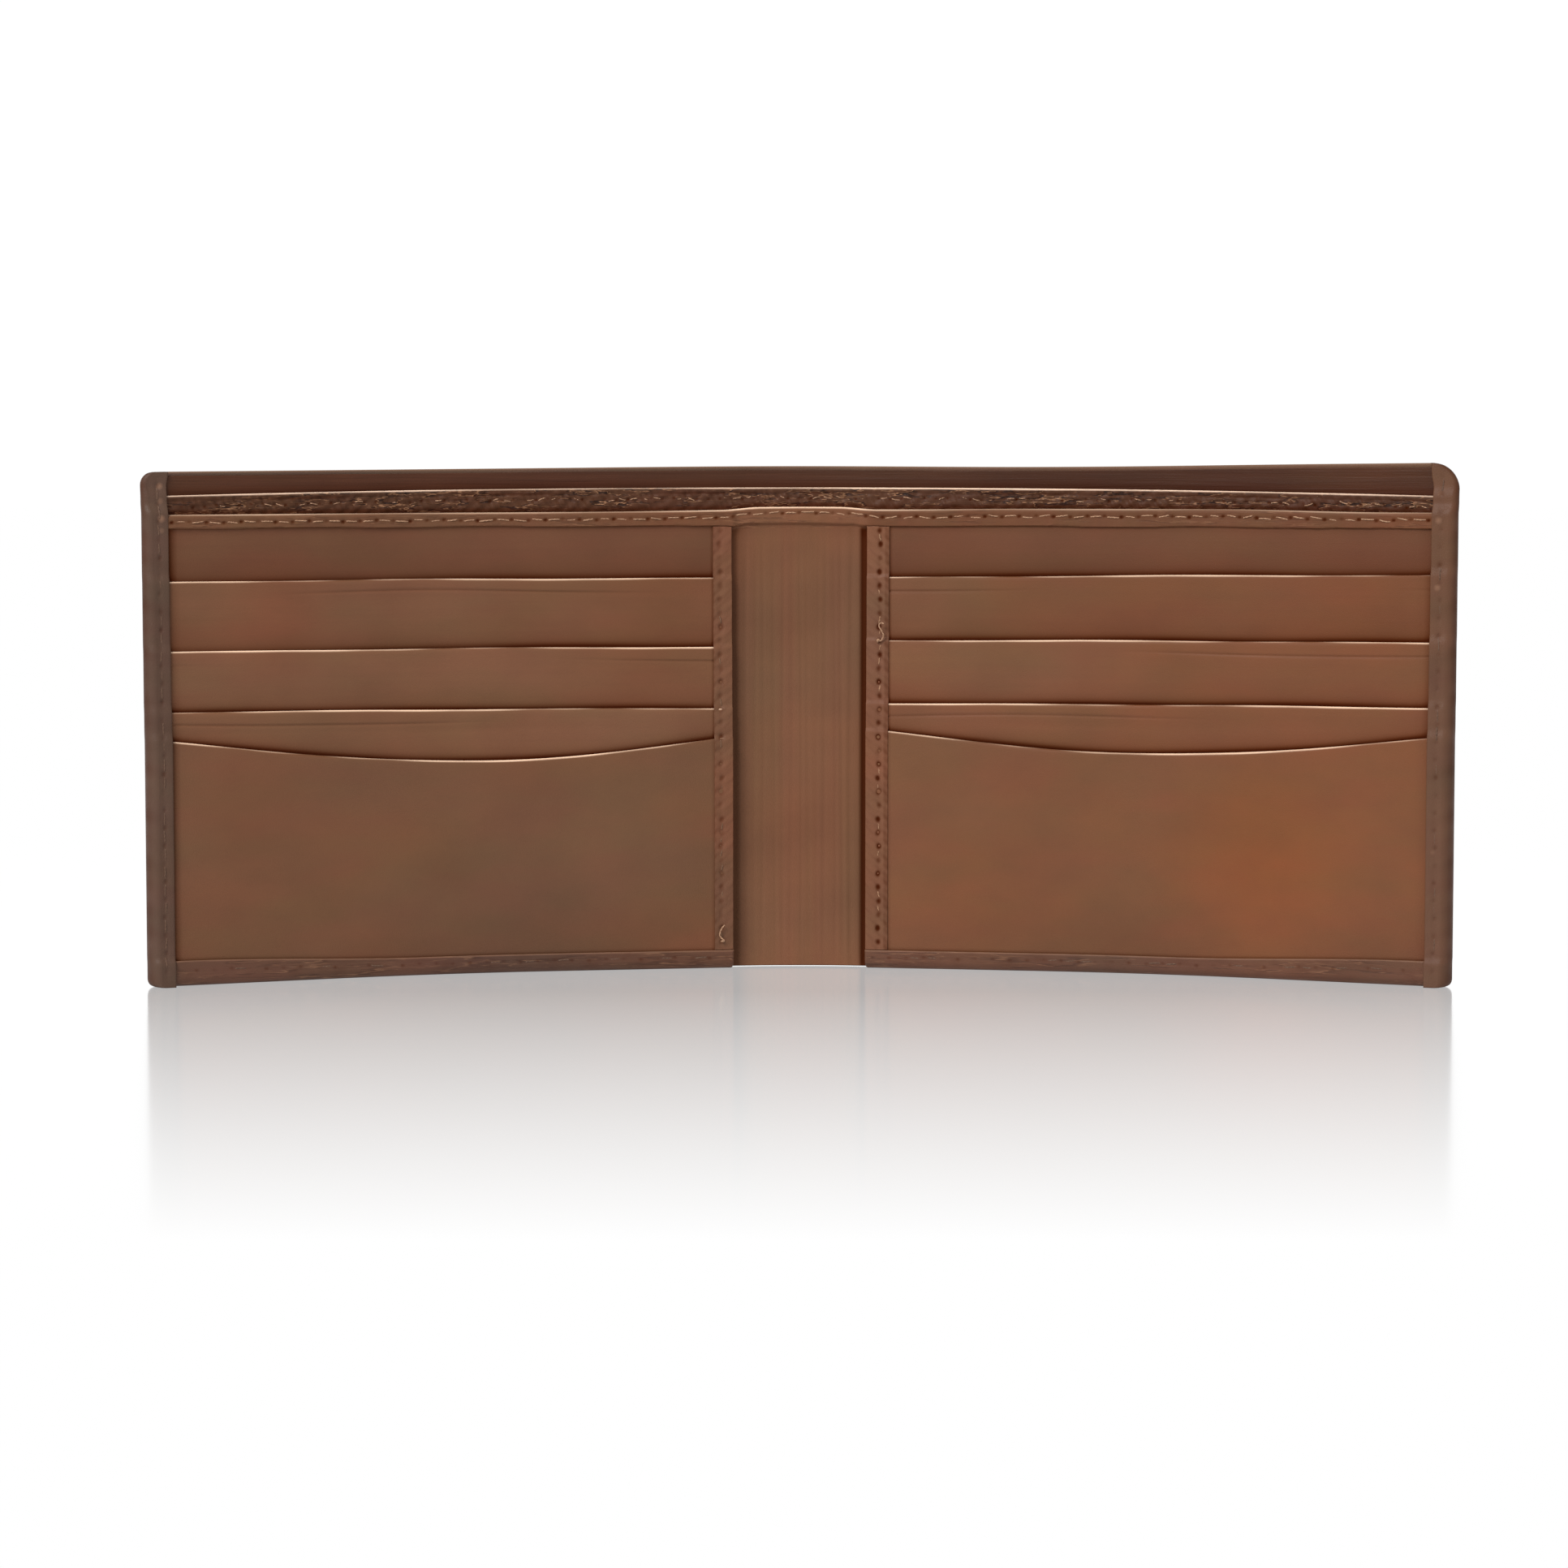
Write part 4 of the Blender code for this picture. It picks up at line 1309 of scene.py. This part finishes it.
def floor():
    """A glowing white floor that turns glossy near the wallet."""
    shader = Shader("floor")
    split = shader.add("SeparateXYZ", {"Vector": shader.add("NewGeometry", {}).outputs["Position"]})
    gap = shader.maths("ABSOLUTE", split.outputs["Y"], 0.0)
    share = shader.fit(gap, 0.02, GLOSS_REACH, GLOSS, 0.0)
    glow = shader.add("Emission", {"Color": (1, 1, 1, 1), "Strength": 1.0})
    gloss = shader.add("BsdfGlossy", {"Color": (1, 1, 1, 1), "Roughness": 0.12})
    surface = shader.add("MixShader", {0: share, 1: glow.outputs[0], 2: gloss.outputs[0]})
    shader.add("OutputMaterial", {"Surface": surface.outputs[0]})
    corners = [(x * FLOOR_HALF, y * FLOOR_HALF, 0) for x, y in ((-1, -1), (1, -1), (1, 1), (-1, 1))]
    mesh = bpy.data.meshes.new("floor")
    mesh.from_pydata(corners, [], [(0, 1, 2, 3)])
    mesh.materials.append(shader.material)
    obj = bpy.data.objects.new("floor", mesh)
    obj.location.z = -0.05 * MM
    bpy.context.scene.collection.objects.link(obj)


def area_light(name, location, target, size, power):
    data = bpy.data.lights.new(name, "AREA")
    data.shape = "RECTANGLE"
    data.size, data.size_y = size
    data.energy = power
    obj = bpy.data.objects.new(name, data)
    obj.location = location
    way = np.array(target) - np.array(location)
    obj.rotation_euler = (math.atan2(math.hypot(way[0], way[1]), -way[2]), 0, math.atan2(-way[0], way[1]))
    bpy.context.scene.collection.objects.link(obj)


def studio():
    """A white horizon all round, a dimmer dome above it, and one large soft light from the upper left."""
    world = bpy.data.worlds.new("studio")
    world.use_nodes = True
    tree = world.node_tree
    way = tree.nodes.new("ShaderNodeTexCoord")
    split = tree.nodes.new("ShaderNodeSeparateXYZ")
    dome = tree.nodes.new("ShaderNodeMapRange")
    for key, value in (("From Min", math.sin(math.radians(14))), ("From Max", math.sin(math.radians(40))),
                       ("To Min", 1.02), ("To Max", DOME)):
        dome.inputs[key].default_value = value
    tree.links.new(way.outputs["Generated"], split.inputs[0])
    tree.links.new(split.outputs["Z"], dome.inputs["Value"])
    tree.links.new(dome.outputs[0], tree.nodes["Background"].inputs["Strength"])
    tree.nodes["Background"].inputs["Color"].default_value = (1, 1, 1, 1)
    bpy.context.scene.world = world
    area_light("key", location=(-0.5, -0.6, 0.9), target=(0, 0, 0.045), size=(0.45, 0.35), power=KEY_POWER)
    bpy.context.scene.view_settings.view_transform = "Standard"


def camera():
    data = bpy.data.cameras.new("camera")
    data.lens, data.sensor_width = LENS, SENSOR
    data.clip_start = 0.05
    obj = bpy.data.objects.new("camera", data)
    obj.location = EYE
    obj.rotation_euler = (math.radians(90 - EYE_DOWN), 0, 0)
    bpy.context.scene.collection.objects.link(obj)
    bpy.context.scene.camera = obj


floor()
studio()
camera()
